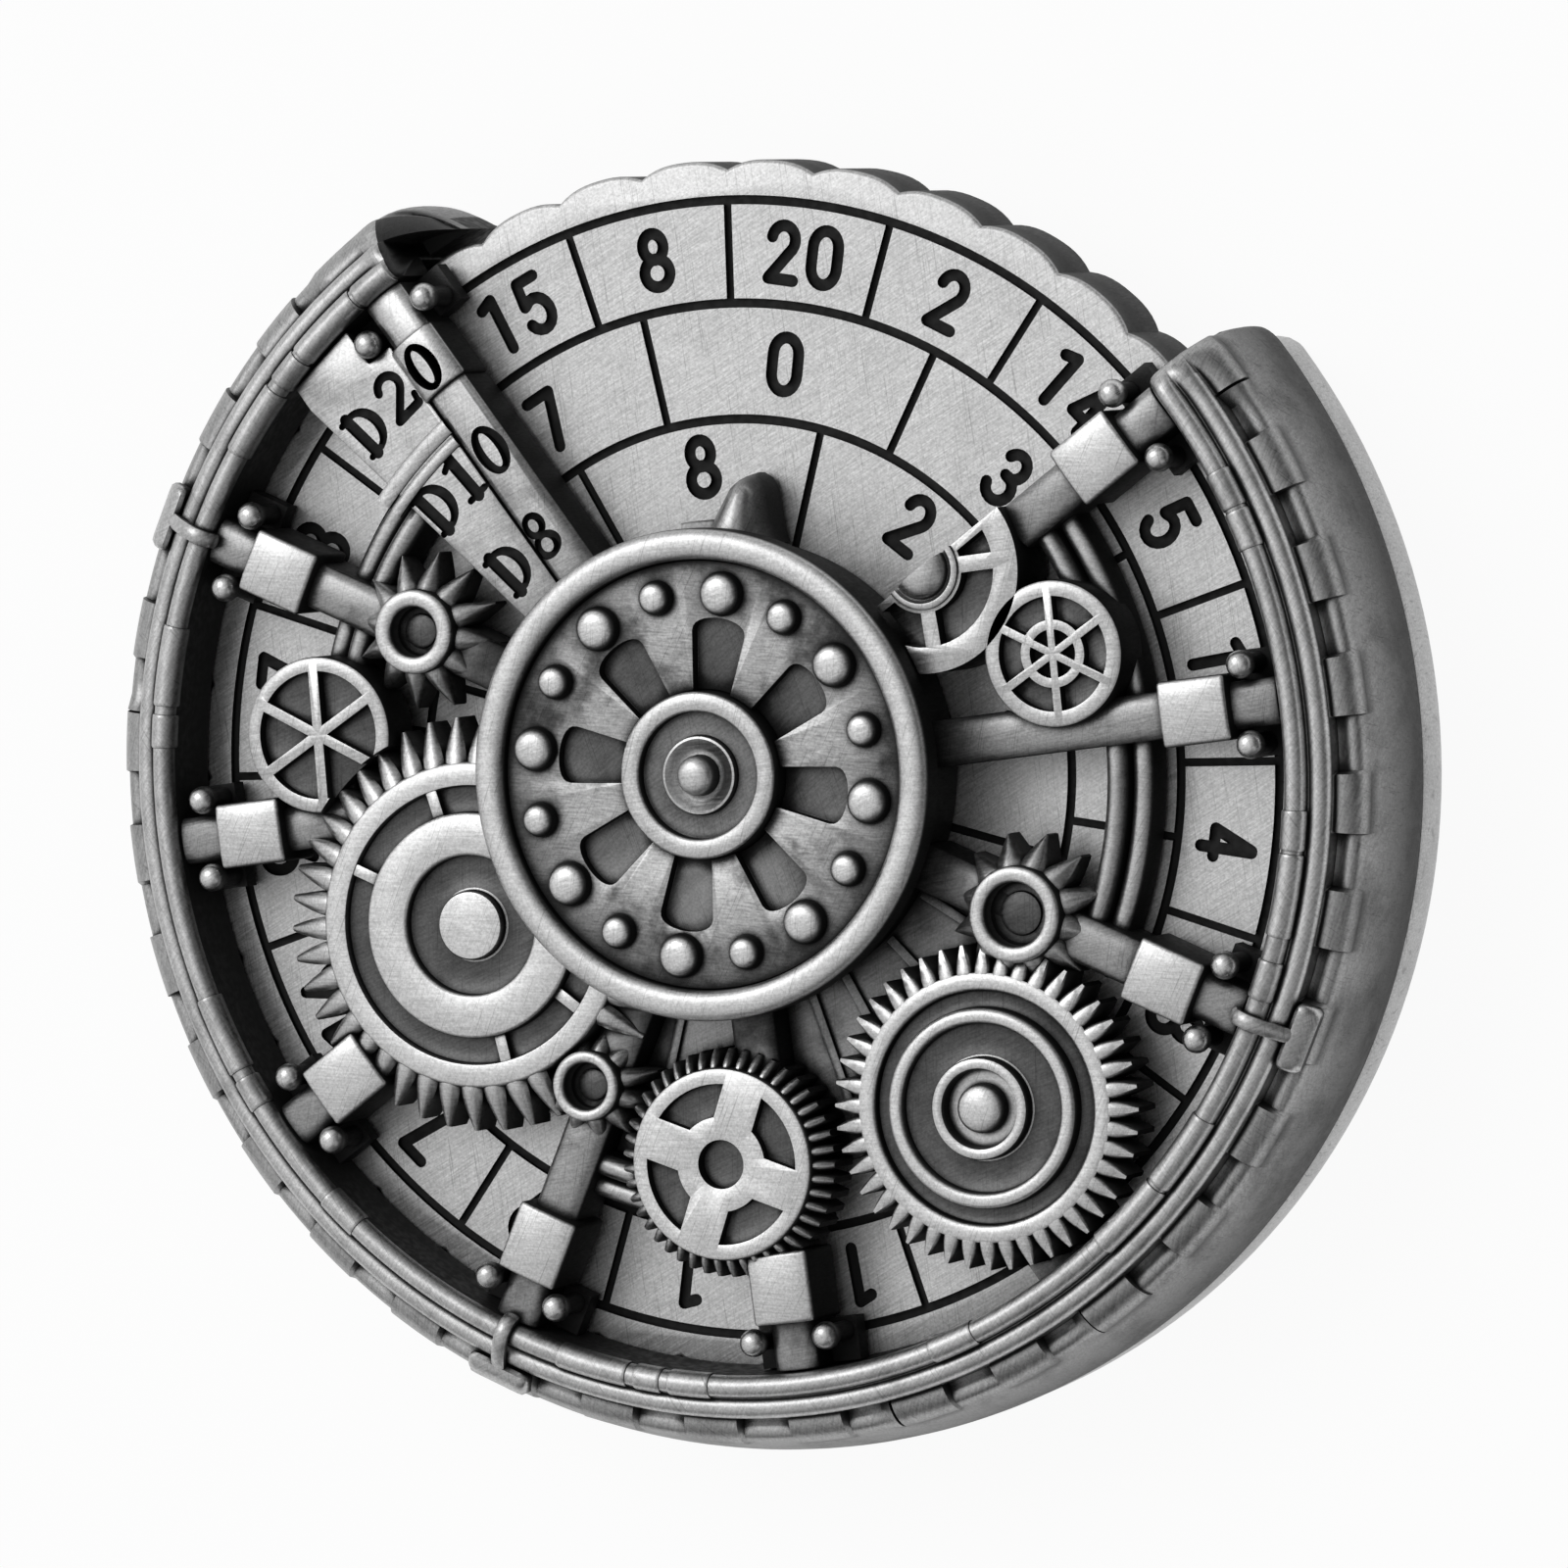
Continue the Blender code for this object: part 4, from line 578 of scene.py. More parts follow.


# Front shell: the open C-shaped rim round the dial, with two pipes and a row of pockets on top.
# Cast pewter, black inside as painted shade and in the grooves, bright on the pipes, dark and smooth on its wall and
# ends.
# Its right end is rounded off; past the left end's face the wall runs on round the dial, over an open hollow.
RIM_TOP = 10.2
NOSE = 1.3
NOSE_TURN = 2.6
POCKET_FIRST = 59.5
POCKET_PITCH = 10.0
POCKET_HALF = 2.5
POCKETS_END = 310.0
SMOOTH_END = 3.6
LEFT_END = 360.0 - WINDOW_HALF_ANGLE
LEFT_RUN = 5.2
PIPE_RADIUS = 25.0
CAVITY_RADIUS = 25.3
WALL_REACH = 2.95
LIP_TOP = 6.9
HOLLOW_FLOOR = 6.0
WALL_CENTRE = 17.12
WALL_BULGE = 11.0
WALL_MIDDLE = 4.2
WALL_SLOT, NOSE_SLOT, INSIDE_SLOT = 1, 2, 3


def wall_at(level):
    """The radius of the bulged outer wall at a level."""
    return WALL_CENTRE + math.sqrt(WALL_BULGE ** 2 - (level - WALL_MIDDLE) ** 2)


def left_draw(reach):
    """How far the rim is drawn in, some degrees past its left end."""
    return WALL_REACH * max(0.0, (reach + 2.0) / 7.2) ** 2.0


def rim_section(heading, drop, draw_in, ease, pocket, floor):
    """The rim's outline at a heading: lowered, drawn in and smoothed at its ends, with a pocket, or as wall only."""
    wall = [(CAVITY_RADIUS, 2.8), (27.25, 2.8), (27.35, 3.07), (wall_at(3.1) - 0.35, 3.08),
            (wall_at(3.2) - 0.1, 3.16)]
    wall += [(wall_at(level), level) for level in (3.3, 3.7, 4.2, 4.9, 5.6, 6.2, 6.8, 7.3, 7.7)]
    shoulder = [(27.56, 7.9), (27.51, 8.16), (27.4, 8.4), (27.24, 8.62), (27.02, 8.8), (26.76, 8.92), (26.5, 8.97),
                (26.38, 8.92)]
    if pocket:
        shoulder = [(27.48, 7.9), (27.4, 8.12), (27.29, 8.31), (27.13, 8.44), (26.94, 8.47), (26.73, 8.42),
                    (26.53, 8.36), (26.39, 8.4)]
    crest = shoulder + bow(25.88, 9.22, 0.48, 0.48, -24, 136, 10) + [(25.49, 9.58)]
    crest += bow(PIPE_RADIUS, 9.66, 0.46, 0.54, 2, 180, 12)
    for place, (radius, level) in enumerate(crest):
        if radius >= PIPE_RADIUS:
            smooth = 10.17 - 0.28 * (radius - PIPE_RADIUS) ** 2
            crest[place] = (radius, smooth + (level - smooth) * ease)
    inside = crest[len(shoulder):]
    inside += [(24.54, 9.0), (24.54, 7.3), (24.44, 7.02), (24.4, 6.84), (24.46, 6.8), (CAVITY_RADIUS, 6.8)]
    if floor:
        inside = [(26.15 - 0.73 * step / (len(inside) - 1), floor) for step in range(len(inside))]
    share = (RIM_TOP - drop - WALL_MIDDLE) / (RIM_TOP - WALL_MIDDLE)
    placed = []
    for radius, level in wall + crest[:len(shoulder)] + inside:
        if radius > 24.5 and level > LIP_TOP:
            level = max(LIP_TOP, WALL_MIDDLE + (level - WALL_MIDDLE) * share)
        if radius > CAVITY_RADIUS:
            radius = max(CAVITY_RADIUS + 0.04, radius - draw_in * (radius - CAVITY_RADIUS) / WALL_REACH)
        placed.append(polar(radius, heading, level))
    return placed


rim_finish = pewter("rim_pewter", worn=0.56, aged=0.2, brush_turn=65.0, side_shade=(-0.5, 0.4), cavity=0.28, rough=0.4,
                    blotches=0.3)
wall_finish = pewter("rim_wall_pewter", worn=0.42, aged=0.12, brush_turn=80.0, side_shade=(-0.45, 0.8), cavity=0.7,
                     rough=0.38, streaks=0.24, blotches=0.2, brush=(1.6, 0.07))
nose_finish = pewter("rim_end_pewter", worn=0.035, aged=0.02, brush_turn=50.0, side_shade=None, cavity=0.5, rough=0.34,
                     streaks=0.15, blotches=0.2)
# Black inside the rim, under the lip and in the left end's hollow: painted shade.
inside_shade_finish = black_filling("rim_inside_painted_shade", 0.012)
rim_marks = []
for step in range(8):
    turn = math.radians(90.0 * step / 8)
    drop = NOSE * (1.0 - math.sin(turn))
    rim_marks.append((WINDOW_HALF_ANGLE + NOSE_TURN * (1.0 - math.cos(turn)), drop, 0.5 * drop, False))
first, last = WINDOW_HALF_ANGLE + NOSE_TURN, LEFT_END - LEFT_RUN
rim_marks += [(first + (last - first) * step / 200, 0.0, 0.0, False) for step in range(201)]
for number in range(-1, 27):
    for edge, deep in ((-POCKET_HALF, False), (-POCKET_HALF + 0.12, True), (POCKET_HALF - 0.3, True),
                       (POCKET_HALF, False)):
        heading = POCKET_FIRST + POCKET_PITCH * number + edge
        if heading < POCKETS_END + 1.0:
            rim_marks.append((heading, 0.0, 0.0, deep))
for step in range(15):
    reach = -4.8 + 4.7 * step / 14
    rounding = min(1.0, max(0.0, reach + 1.2) / 1.1)
    rim_marks.append((LEFT_END + reach, 0.5 * (1.0 - math.sqrt(1.0 - rounding ** 2)), left_draw(reach), False))
for step in range(21):
    reach = LEFT_RUN * step / 20
    rim_marks.append((LEFT_END + reach, 0.5 + 2.6 * (reach / LEFT_RUN) ** 1.05, left_draw(reach), False))
rim_rows = []
for heading, drop, draw_in, deep in sorted(rim_marks):
    from_end = min(heading - WINDOW_HALF_ANGLE, LEFT_END + 0.4 - heading)
    ease = min(1.0, max(0.0, from_end / SMOOTH_END))
    off = abs((heading - POCKET_FIRST + POCKET_PITCH / 2) % POCKET_PITCH - POCKET_PITCH / 2)
    pocket = (deep or off < POCKET_HALF - 0.31) and heading < POCKETS_END
    floor = HOLLOW_FLOOR if heading > LEFT_END + 0.05 else LIP_TOP if heading > LEFT_END - 0.05 else None
    rim_rows.append(rim_section(heading, drop, draw_in, ease * ease * (3.0 - 2.0 * ease), pocket, floor))
front_shell = cast("front_shell_rim", loft(rim_rows), rim_finish, wall_finish, nose_finish, inside_shade_finish)
for face in front_shell.data.polygons:
    spot = face.center / MM
    reach = math.hypot(spot.x, spot.y)
    heading = math.degrees(math.atan2(spot.x, spot.y))
    inward = face.normal.x * spot.x + face.normal.y * spot.y < -0.2 * reach
    under_lip = reach < 24.62 and spot.z < 9.6 or reach < 25.36 and spot.z < 7.02
    in_hollow = 0.02 - WINDOW_HALF_ANGLE < heading < 0.0 and (inward or spot.z < 6.4 and reach < 26.2)
    if under_lip or in_hollow:
        face.material_index = INSIDE_SLOT
    elif -0.5 - WINDOW_HALF_ANGLE < heading < WINDOW_HALF_ANGLE + 0.3:
        face.material_index = NOSE_SLOT
    elif reach > 26.36 and spot.z < 9.02 or 0.0 < heading < WINDOW_HALF_ANGLE + 3.0 and reach > 25.8:
        face.material_index = WALL_SLOT
fit(front_shell, "front_shell")


# Pipe sleeves: short bands that wrap the inner pipe, singly and in pairs.
# Cast in one with the rim, a hair larger than the pipe, with black in the joints.
# They stand in small groups, chiefly near the straps and the rim's ends.
SLEEVE_GAP = 0.14
sleeve_spans = ((53, 57), (57, 61), (85, 89), (89, 97), (99, 103), (115, 123), (123, 131), (146, 151),
                (-66.5, -59), (-58.5, -55), (-55, -47), (-47, -42.5), (-96, -92.5), (-92, -84), (-132, -128.5),
                (-128, -120), (-147, -142.5), (-186.5, -182), (-181.5, -178.5), (-178, -170.5))
sleeves = []
for first, last in sleeve_spans:
    rows = []
    begin, end = first + SLEEVE_GAP, last - SLEEVE_GAP
    count = max(4, round((end - begin) / 1.4))
    marks = [(begin, -0.12), (begin + 0.05, -0.03), (begin + 0.22, 0.0)]
    marks += [(begin + 0.3 + (end - begin - 0.6) * step / count, 0.0) for step in range(count + 1)]
    marks += [(end - 0.22, 0.0), (end - 0.05, -0.03), (end, -0.12)]
    for heading, grow in marks:
        outline = bow(PIPE_RADIUS, RIM_TOP - 0.54, 0.54 + grow, 0.62 + grow, -14, 194)
        rows.append([polar(radius, heading, level) for radius, level in outline])
    sleeves.append(loft(rows))
pipe_sleeves = cast("pipe_sleeves", gathered(sleeves), rim_finish)
fit(pipe_sleeves)


# Rim straps: three thin clips that reach over both pipes to a cross head on the shoulder.
# Pewter, bright on their worn backs.
# They stand a quarter turn apart, beside the upper left, lower left and lower right spokes.
strap_line = [(24.3, 9.55), (24.34, 9.95), (24.55, 10.28), (25.0, 10.42), (25.45, 10.26), (25.9, 10.0),
              (26.3, 9.68), (26.6, 9.4)]
strap_rows = []
for place, (radius, level) in enumerate(strap_line):
    before = strap_line[max(place - 1, 0)]
    after = strap_line[min(place + 1, len(strap_line) - 1)]
    run = math.dist(before, after)
    slope = ((after[0] - before[0]) / run, (after[1] - before[1]) / run)
    half = (0.22, 0.32)[min(place, 1)]
    thick = (0.1, 0.2)[min(place, 1)]
    section = []
    for step in range(12):
        turn = math.tau * step / 12
        square = 1.0 / max(abs(math.cos(turn)), abs(math.sin(turn))) ** 0.55
        across = half * square * math.cos(turn)
        lift = thick * square * math.sin(turn)
        section.append((across, radius - slope[1] * lift, level + slope[0] * lift))
    strap_rows.append(section)
head_outline = [(26.4, 8.8), (26.44, 9.46), (26.6, 9.6), (26.85, 9.54), (27.15, 9.34), (27.4, 9.0), (27.35, 8.5)]
head_middle = (26.85, 9.05)
head_rows = []
for across, share in ((-1.42, 0.3), (-1.38, 0.7), (-1.24, 0.95), (-1.0, 1.0), (1.0, 1.0), (1.24, 0.95),
                      (1.38, 0.7), (1.42, 0.3)):
    head_rows.append([(across, head_middle[0] + share * (radius - head_middle[0]),
                       head_middle[1] + share * (level - head_middle[1])) for radius, level in head_outline])
strap_finish = pewter("strap_pewter", worn=0.55, aged=0.15, brush_turn=30.0, side_shade=(-0.3, 0.5), cavity=0.35)
rim_straps = cast("rim_straps", gathered([loft(strap_rows), loft(head_rows)]), strap_finish)
in_row(rim_straps, 3, 0.0, 105.0, 90.0)
fit(rim_straps, "rim_strap_1", "rim_strap_2", "rim_strap_3")


# Hub: a dark neck that carries the spokes, with a rounded bezel ring on top.
# Turned and antiqued pewter; the ring is rubbed bright, and the neck is painted nearly black as painted shade under
# the bezel.
# The neck is screwed down on the bearing's inner race.
# The neck's near-black colour is painted shade below the bezel.
neck_shade_finish = pewter("hub_neck_painted_shade", worn=0.05, aged=0.02, side_shade=(0.3, 0.9), cavity=1.5)
neck_profile = [(1.55, 6.65), (4.05, 6.65), (4.05, 7.0), (9.4, 7.0), (9.4, 10.4), (2.65, 10.4), (2.65, 9.05),
                (1.55, 9.05)]
hub_neck = cast("hub_neck", spun(neck_profile, 128, ring=True), neck_shade_finish)
fit(hub_neck, "hub_base", slot="dark_pewter")
bezel_finish = pewter("hub_bezel_pewter", worn=0.64, aged=0.26, brush_turn=12.0, side_shade=(0.05, 0.55), cavity=0.35,
                      rough=0.4, streaks=0.16, blotches=0.14)
bezel_profile = [(8.72, 10.45), (9.98, 10.45)]
for step in range(25):
    turn = math.pi * step / 24
    bezel_profile.append((9.35 + 0.63 * math.copysign(abs(math.cos(turn)) ** 0.82, math.cos(turn)),
                          11.27 + 0.58 * math.sin(turn) ** 0.72))
hub_bezel = cast("hub_bezel_ring", spun(bezel_profile, 192, ring=True), bezel_finish)
fit(hub_bezel, "hub_bezel")


# Hub cap: the disc inside the bezel, with eight petal recesses and a ring of rivets.
# Cast pewter, darker towards its edge, brushed across, grey in the petals.
# Large rivets stand beyond the petals and small ones between them.
PETALS = 8
RIVET_CIRCLE = 7.4
cap_finish = pewter("hub_cap_pewter", worn=0.48, aged=0.12, brush_turn=4.0, side_shade=(0.2, 0.8), cavity=1.2,
                    rough=0.37, streaks=0.34, blotches=0.5, brush=(0.7, 0.09), fade=(3.6, 8.6, 0.62))
# The steep petal walls go black from the side shade term: painted shade.
petal_finish = pewter("petal_floor_pewter", worn=0.15, aged=0.08, brush_turn=50.0, side_shade=(0.4, 0.95), cavity=0.75,
                      rough=0.4, streaks=0.25, blotches=0.4, brush=(0.6, 0.09))
cap_profile = [(3.45, 10.45), (8.67, 10.45), (8.67, 11.2), (3.45, 11.2)]
hub_cap = cast("hub_cap_disc", spun(cap_profile, 160, ring=True), cap_finish)
petals = []
for number in range(PETALS):
    plan = [(3.2, 0.8), (3.2, -0.8)]
    plan += [(5.75 + 0.65 * math.cos(turn) ** 0.8, 1.16 * math.sin(turn))
             for turn in [math.radians(-90 + 180 * step / 14) for step in range(15)]]
    petals.append(slab(on_plan(plan, 360.0 / PETALS * number), 10.66, 12.0))
carve(hub_cap, cast("petal_cuts", gathered(petals), petal_finish))
soften(hub_cap, 0.04)
fit(hub_cap, "hub_cap", slot="dark_pewter")
rivet_finish = pewter("rivet_pewter", worn=0.66, aged=0.2, brush_turn=25.0, side_shade=(0.4, 0.97), cavity=0.35,
                      rough=0.33, blotches=0.2, brush=(0.5, 0.08))
for size, name, first in ((0.92, "large_rivets", 0.0), (0.72, "small_rivets", 22.5)):
    rivet_profile = [(size, 11.0), (size, 11.26), (0.97 * size, 11.48), (0.89 * size, 11.66), (0.75 * size, 11.79),
                     (0.56 * size, 11.86), (0.3 * size, 11.885), (0.0, 11.89)]
    rivets = cast(name, spun(rivet_profile, 28), rivet_finish)
    in_row(rivets, PETALS, RIVET_CIRCLE, first, 360.0 / PETALS)
    fit(rivets)


# Hub boss: the turned button in the middle of the cap.
# Pewter, with a bright outer ring, a grey sunk floor, and a small dome in a dished ring.
# It is pressed into the cap's bore.
boss_finish = pewter("hub_boss_pewter", worn=0.58, aged=0.16, brush_turn=15.0, cavity=0.4, blotches=0.15)
boss_floor_finish = pewter("boss_floor_pewter", worn=0.17, aged=0.08, brush_turn=40.0, side_shade=(0.3, 0.9),
                           cavity=0.45, streaks=0.25, blotches=0.35, brush=(0.6, 0.09))
boss_profile = [(0.0, 10.45), (3.4, 10.45), (3.4, 11.66), (3.36, 11.75), (3.28, 11.8), (2.7, 11.8), (2.62, 11.76),
                (2.58, 11.68), (2.57, 11.27), (2.5, 11.25), (1.72, 11.25), (1.64, 11.27), (1.62, 11.5),
                (1.57, 11.6), (1.48, 11.62), (1.3, 11.5), (1.1, 11.36), (0.95, 11.33), (0.84, 11.36), (0.82, 11.8),
                (0.78, 12.0), (0.68, 12.15), (0.5, 12.25), (0.25, 12.29), (0.0, 12.3)]
hub_boss = cast("hub_boss_button", spun(boss_profile, 96), boss_finish, boss_floor_finish)
for face in hub_boss.data.polygons:
    reach = math.hypot(face.center.x, face.center.y) / MM
    if 1.64 < reach < 2.58 and face.center.z < 11.3 * MM:
        face.material_index = 1
fit(hub_boss, "hub_boss")


# Pointer: a rounded thorn at the top of the hub that reads the dial.
# Pewter, bright on its ridge and dark at its foot.
# It is cast on a small ledge that wraps the neck below the bezel.
pointer_finish = pewter("pointer_pewter", worn=0.46, aged=0.14, brush_turn=80.0, side_shade=(-0.2, 0.75), cavity=0.7,
                        rough=0.33, blotches=0.2)
POINTER_HEADING = -2.6
pointer_rows = []
for step in range(17):
    share = step / 16
    round_off = math.sqrt(max(0.0, 1.0 - max(0.0, share - 0.72) ** 2 / 0.0784))
    half = (1.62 + (0.6 - 1.62) * share ** 0.85) * max(round_off, 0.06)
    rise = (3.0 + (2.1 - 3.0) * share ** 1.6) * max(round_off, 0.3)
    row = []
    for turn in [math.pi * part / 18 for part in range(19)]:
        across = half * math.copysign(abs(math.cos(turn)) ** 0.85, math.cos(turn)) - 0.25 * (1.0 - share)
        row.append(beside(9.45 + 2.72 * share, across, 7.0 + rise * math.sin(turn) ** 0.85, POINTER_HEADING))
    pointer_rows.append(row)
ledge_outline = [(9.45, 7.0), (10.25, 7.0), (10.25, 9.2), (10.17, 9.32), (9.45, 9.32)]
ledge = spun(ledge_outline, 16, first=-17.0, sweep=14.0, ring=True)
pointer = cast("pointer_thorn", gathered([loft(pointer_rows), ledge]), pointer_finish)
fit(pointer, "pointer")


# Gear deck: the low web between the hub and the rails, under the lower gears.
# Cast pewter, dark with patina and painted shade low between the gears, with raised seams that run outward.
# It is cast in one with the hub's neck.
deck_finish = pewter("gear_deck_pewter", worn=0.3, aged=0.13, brush_turn=35.0, side_shade=(0.2, 0.8), cavity=0.9,
                     rough=0.4, streaks=0.25, blotches=0.4, brush=(0.8, 0.09))
frame["nodes"]["gear_deck"].material_slots[0].material = deck_finish
seam_outline = [(-0.22, 7.6), (-0.18, 8.1), (0.0, 8.16), (0.18, 8.1), (0.22, 7.6)]
seams = []
for heading in (113.0, 127.0, 142.0, 152.0, 163.0, 186.0):
    seams.append(loft([[beside(along, across, level, heading) for across, level in seam_outline]
                       for along in (9.6, 10.4, 15.0, 16.5)]))
deck_seams = cast("deck_seams", gathered(seams), deck_finish)
fit(deck_seams, slot="dark_pewter")


# Rails: short curved tracks between the spokes, each with two rounded ribs.
# Cast pewter, rubbed on the ribs and black between them.
# They run at the same distance from the hub, from spoke to spoke.
rail_finish = pewter("rail_pewter", worn=0.48, aged=0.16, side_shade=(0.1, 0.8), cavity=0.5, blotches=0.3)
rail_outline = [(16.6, 7.0), (18.5, 7.0)] + bow(18.06, 8.4, 0.42, 0.3, 0, 180, 10)
rail_outline += [(17.63, 8.22), (17.57, 8.22)] + bow(17.1, 8.7, 0.46, 0.5, 0, 180, 10)
rails = []
for first, last in ((47.2, 72.8), (77.2, 102.8), (167.2, 192.8), (257.2, 282.8), (287.2, 300.5)):
    rails.append(loft([[polar(radius, first + (last - first) * step / 18, level) for radius, level in rail_outline]
                       for step in range(19)]))
rail_tracks = cast("rail_tracks", gathered(rails), rail_finish)
fit(rail_tracks, "rail_1", "rail_2", "rail_3", "rail_4", "rail_5", slot="dark_pewter")


# Spokes: crowned bars from the hub to the rim, each with a square collar near its end.
# Cast pewter, bright on the collars and bar tops, black down their sides as painted shade, and darker towards the hub.
# Nine stand at a thirty degree pitch, with none at the window or under the right gear.
spoke_finish = pewter("spoke_pewter", worn=0.35, aged=0.13, brush_turn=20.0, side_shade=(0.1, 0.75), cavity=0.7,
                      streaks=0.24, blotches=0.4, brush=(0.9, 0.08), fade=(14.5, 10.5, 0.5))
collar_finish = pewter("collar_pewter", worn=0.6, aged=0.24, brush_turn=5.0, side_shade=(0.1, 0.75), cavity=0.4,
                       streaks=0.18, blotches=0.12)


SPOKE_REACH = 20.0
SPOKE_START = 9.45
SPOKE_PITCH = 30.0
FIRST_SPOKE_HEADING = 45.0
GEAR_GAP_HEADING = 135.0


def rod(outline, start, end):
    """A straight piece along the window heading, drawn about the collars' circle."""
    return loft([[(across, along - SPOKE_REACH, level) for across, level in outline] for along in (start, end)])


def bar(start, end, half, low, high, crown):
    """A bar with a crowned and rounded top."""
    outline = [(-half, low), (half, low)]
    for step in range(9):
        share = 1.0 - step / 4
        drop = crown * share ** 2 + 0.14 * max(0.0, abs(share) - 0.72) ** 2 / 0.0784
        outline.append((half * share, high - drop))
    return rod(outline, start, end)


def spoke_bar(start):
    """A spoke's bar, from a distance to the rim."""
    return bar(start, 24.46, 0.955, 7.06, 9.7, 0.16)


def spoke_collar():
    """A spoke's collar: a square block, slightly crowned."""
    half, low, high = 1.33, 7.3, 10.35
    outline = [(-half, low), (half, low), (half, high - 0.12), (0.5 * half, high - 0.02), (-0.5 * half, high - 0.02),
               (-half, high - 0.12)]
    return rod(outline, 19.6, 22.5)


def in_spoke_row(thing, count, first):
    """Repeat a piece at the spokes' headings, with none under the right gear."""
    return in_row(thing, count, SPOKE_REACH, first, SPOKE_PITCH,
                  neighbour=spot_at(SPOKE_REACH, GEAR_GAP_HEADING), neighbour_clear=1.0)


spoke_bars = soften(cast("spoke_bars", spoke_bar(SPOKE_START), spoke_finish), 0.08)
in_spoke_row(spoke_bars, 8, FIRST_SPOKE_HEADING + SPOKE_PITCH)
fit(spoke_bars, *[f"spoke_{number}" for number in range(2, 9)])
first_spoke = soften(cast("first_spoke_bar", spoke_bar(16.3), spoke_finish), 0.08)
in_row(first_spoke, 1, SPOKE_REACH, FIRST_SPOKE_HEADING, SPOKE_PITCH)
fit(first_spoke, "spoke_1")
spoke_collars = soften(cast("spoke_collars", spoke_collar(), collar_finish), 0.16, steps=3)
in_spoke_row(spoke_collars, 9, FIRST_SPOKE_HEADING)
fit(spoke_collars)


# Anchors: a low foot under each spoke's end, with a ball stud on either side.
# Cast pewter; the feet are black and the balls are rubbed bright on top.
# They look as if they bolt the spokes to the rim.
anchor_finish = pewter("anchor_foot_pewter", worn=0.06, aged=0.03, side_shade=(0.3, 0.9), cavity=1.6)
foot_plan = rectangle(-2.17, 2.17, 22.6 - SPOKE_REACH, 24.38 - SPOKE_REACH)
anchor_feet = cast("anchor_feet", slab(foot_plan, 7.02, 7.9), anchor_finish)
in_spoke_row(anchor_feet, 10, FIRST_SPOKE_HEADING)
fit(anchor_feet, *[f"anchor_{number}" for number in range(1, 10)], slot="dark_pewter")
stud_finish = pewter("stud_pewter", worn=0.66, aged=0.2, brush_turn=40.0, side_shade=(-0.3, 0.7), cavity=0.3,
                     rough=0.3, blotches=0.2, brush=(0.5, 0.08))
stud_profile = [(0.42, 7.5), (0.42, 9.35), (0.5, 9.45), (0.56, 9.66), (0.58, 9.84), (0.55, 10.02), (0.46, 10.2),
                (0.32, 10.33), (0.16, 10.38), (0.0, 10.39)]
stud_pair = [spun(stud_profile, 20, centre=(side * 1.61, 23.16 - SPOKE_REACH)) for side in (-1, 1)]
ball_studs = cast("ball_studs", gathered(stud_pair), stud_finish)
in_spoke_row(ball_studs, 10, FIRST_SPOKE_HEADING)
fit(ball_studs)


# Label plate and last spoke: the wedge that names the three rings, beside the spoke at the window.
# Pewter with plain die names cut across plate, bar and collar and filled with black.
# Two raised bands, in line with the rails, cross the plate between the names.
LABEL_HEADING = -45.0
NAME_CUT = (9.2, 11.0)
LETTER_WIDTH = 0.74
BANDS_START = -61.4
plate_finish = pewter("label_plate_pewter", worn=0.56, aged=0.2, brush_turn=35.0, side_shade=(0.1, 0.75), cavity=0.4,
                      streaks=0.24, blotches=0.3, brush=(0.9, 0.07), fade=(19.5, 11.0, 0.74))
plate_filling = black_filling("label_black_filling")


def letter_shapes(letter):
    """A plain serif letter in a box one high and one wide: lines with widths, ovals, and a half oval."""
    thick, thin = 0.25, 0.14
    lines = {
        "D": [([(0.2, 0.02), (0.2, 0.98)], thick), ([(0.0, 0.05), (0.42, 0.05)], thin),
              ([(0.0, 0.95), (0.42, 0.95)], thin)],
        "2": [(bow(0.46, 0.73, 0.34, 0.25, 165, -40, 14) + [(0.08, 0.08)], 0.19), ([(0.08, 0.08), (0.86, 0.08)], 0.2),
              ([(0.86, 0.08), (0.92, 0.28)], thin)],
        "1": [([(0.44, 0.02), (0.44, 0.98)], thick), ([(0.16, 0.05), (0.72, 0.05)], thin),
              ([(0.44, 0.95), (0.14, 0.84)], thin)],
    }
    ovals = {
        "0": [((0.46, 0.5), (0.46, 0.53), (0.17, 0.39))],
        "8": [((0.46, 0.745), (0.37, 0.275), (0.14, 0.14)), ((0.46, 0.265), (0.45, 0.285), (0.18, 0.15))],
    }
    halves = {"D": [((0.34, 0.5), (0.64, 0.52), (0.33, 0.38))]}
    return lines.get(letter, []), ovals.get(letter, []), halves.get(letter, [])


def label_cutters(text, along, middle, height, advance):
    """Cutters for a die's name, read clockwise with its top outward."""
    def placed(line):
        return [((x - 0.46) * height * LETTER_WIDTH, (y - 0.5) * height) for x, y in line]

    cutters = []
    for place, letter in enumerate(text):
        heading = middle + (place - (len(text) - 1) / 2) * advance
        lines, ovals, halves = letter_shapes(letter)
        for line, width in lines:
            cutters.append(channel(placed(line), width * height, *NAME_CUT, heading, along))
        for (x, y), (wide, tall), (inner_wide, inner_tall) in ovals:
            cutters.append(ring_cutter(placed(bow(x, y, wide, tall, 0, 360, 32)[:-1]),
                                       placed(bow(x, y, inner_wide, inner_tall, 0, 360, 32)[:-1]),
                                       *NAME_CUT, heading, along))
        for (x, y), (wide, tall), (inner_wide, inner_tall) in halves:
            plan = placed(bow(x, y, wide, tall, 90, -90, 16) + bow(x, y, inner_wide, inner_tall, -90, 90, 16))
            cutters.append(slab(on_plan([(along + out, across) for across, out in plan], heading), *NAME_CUT))
    return cutters


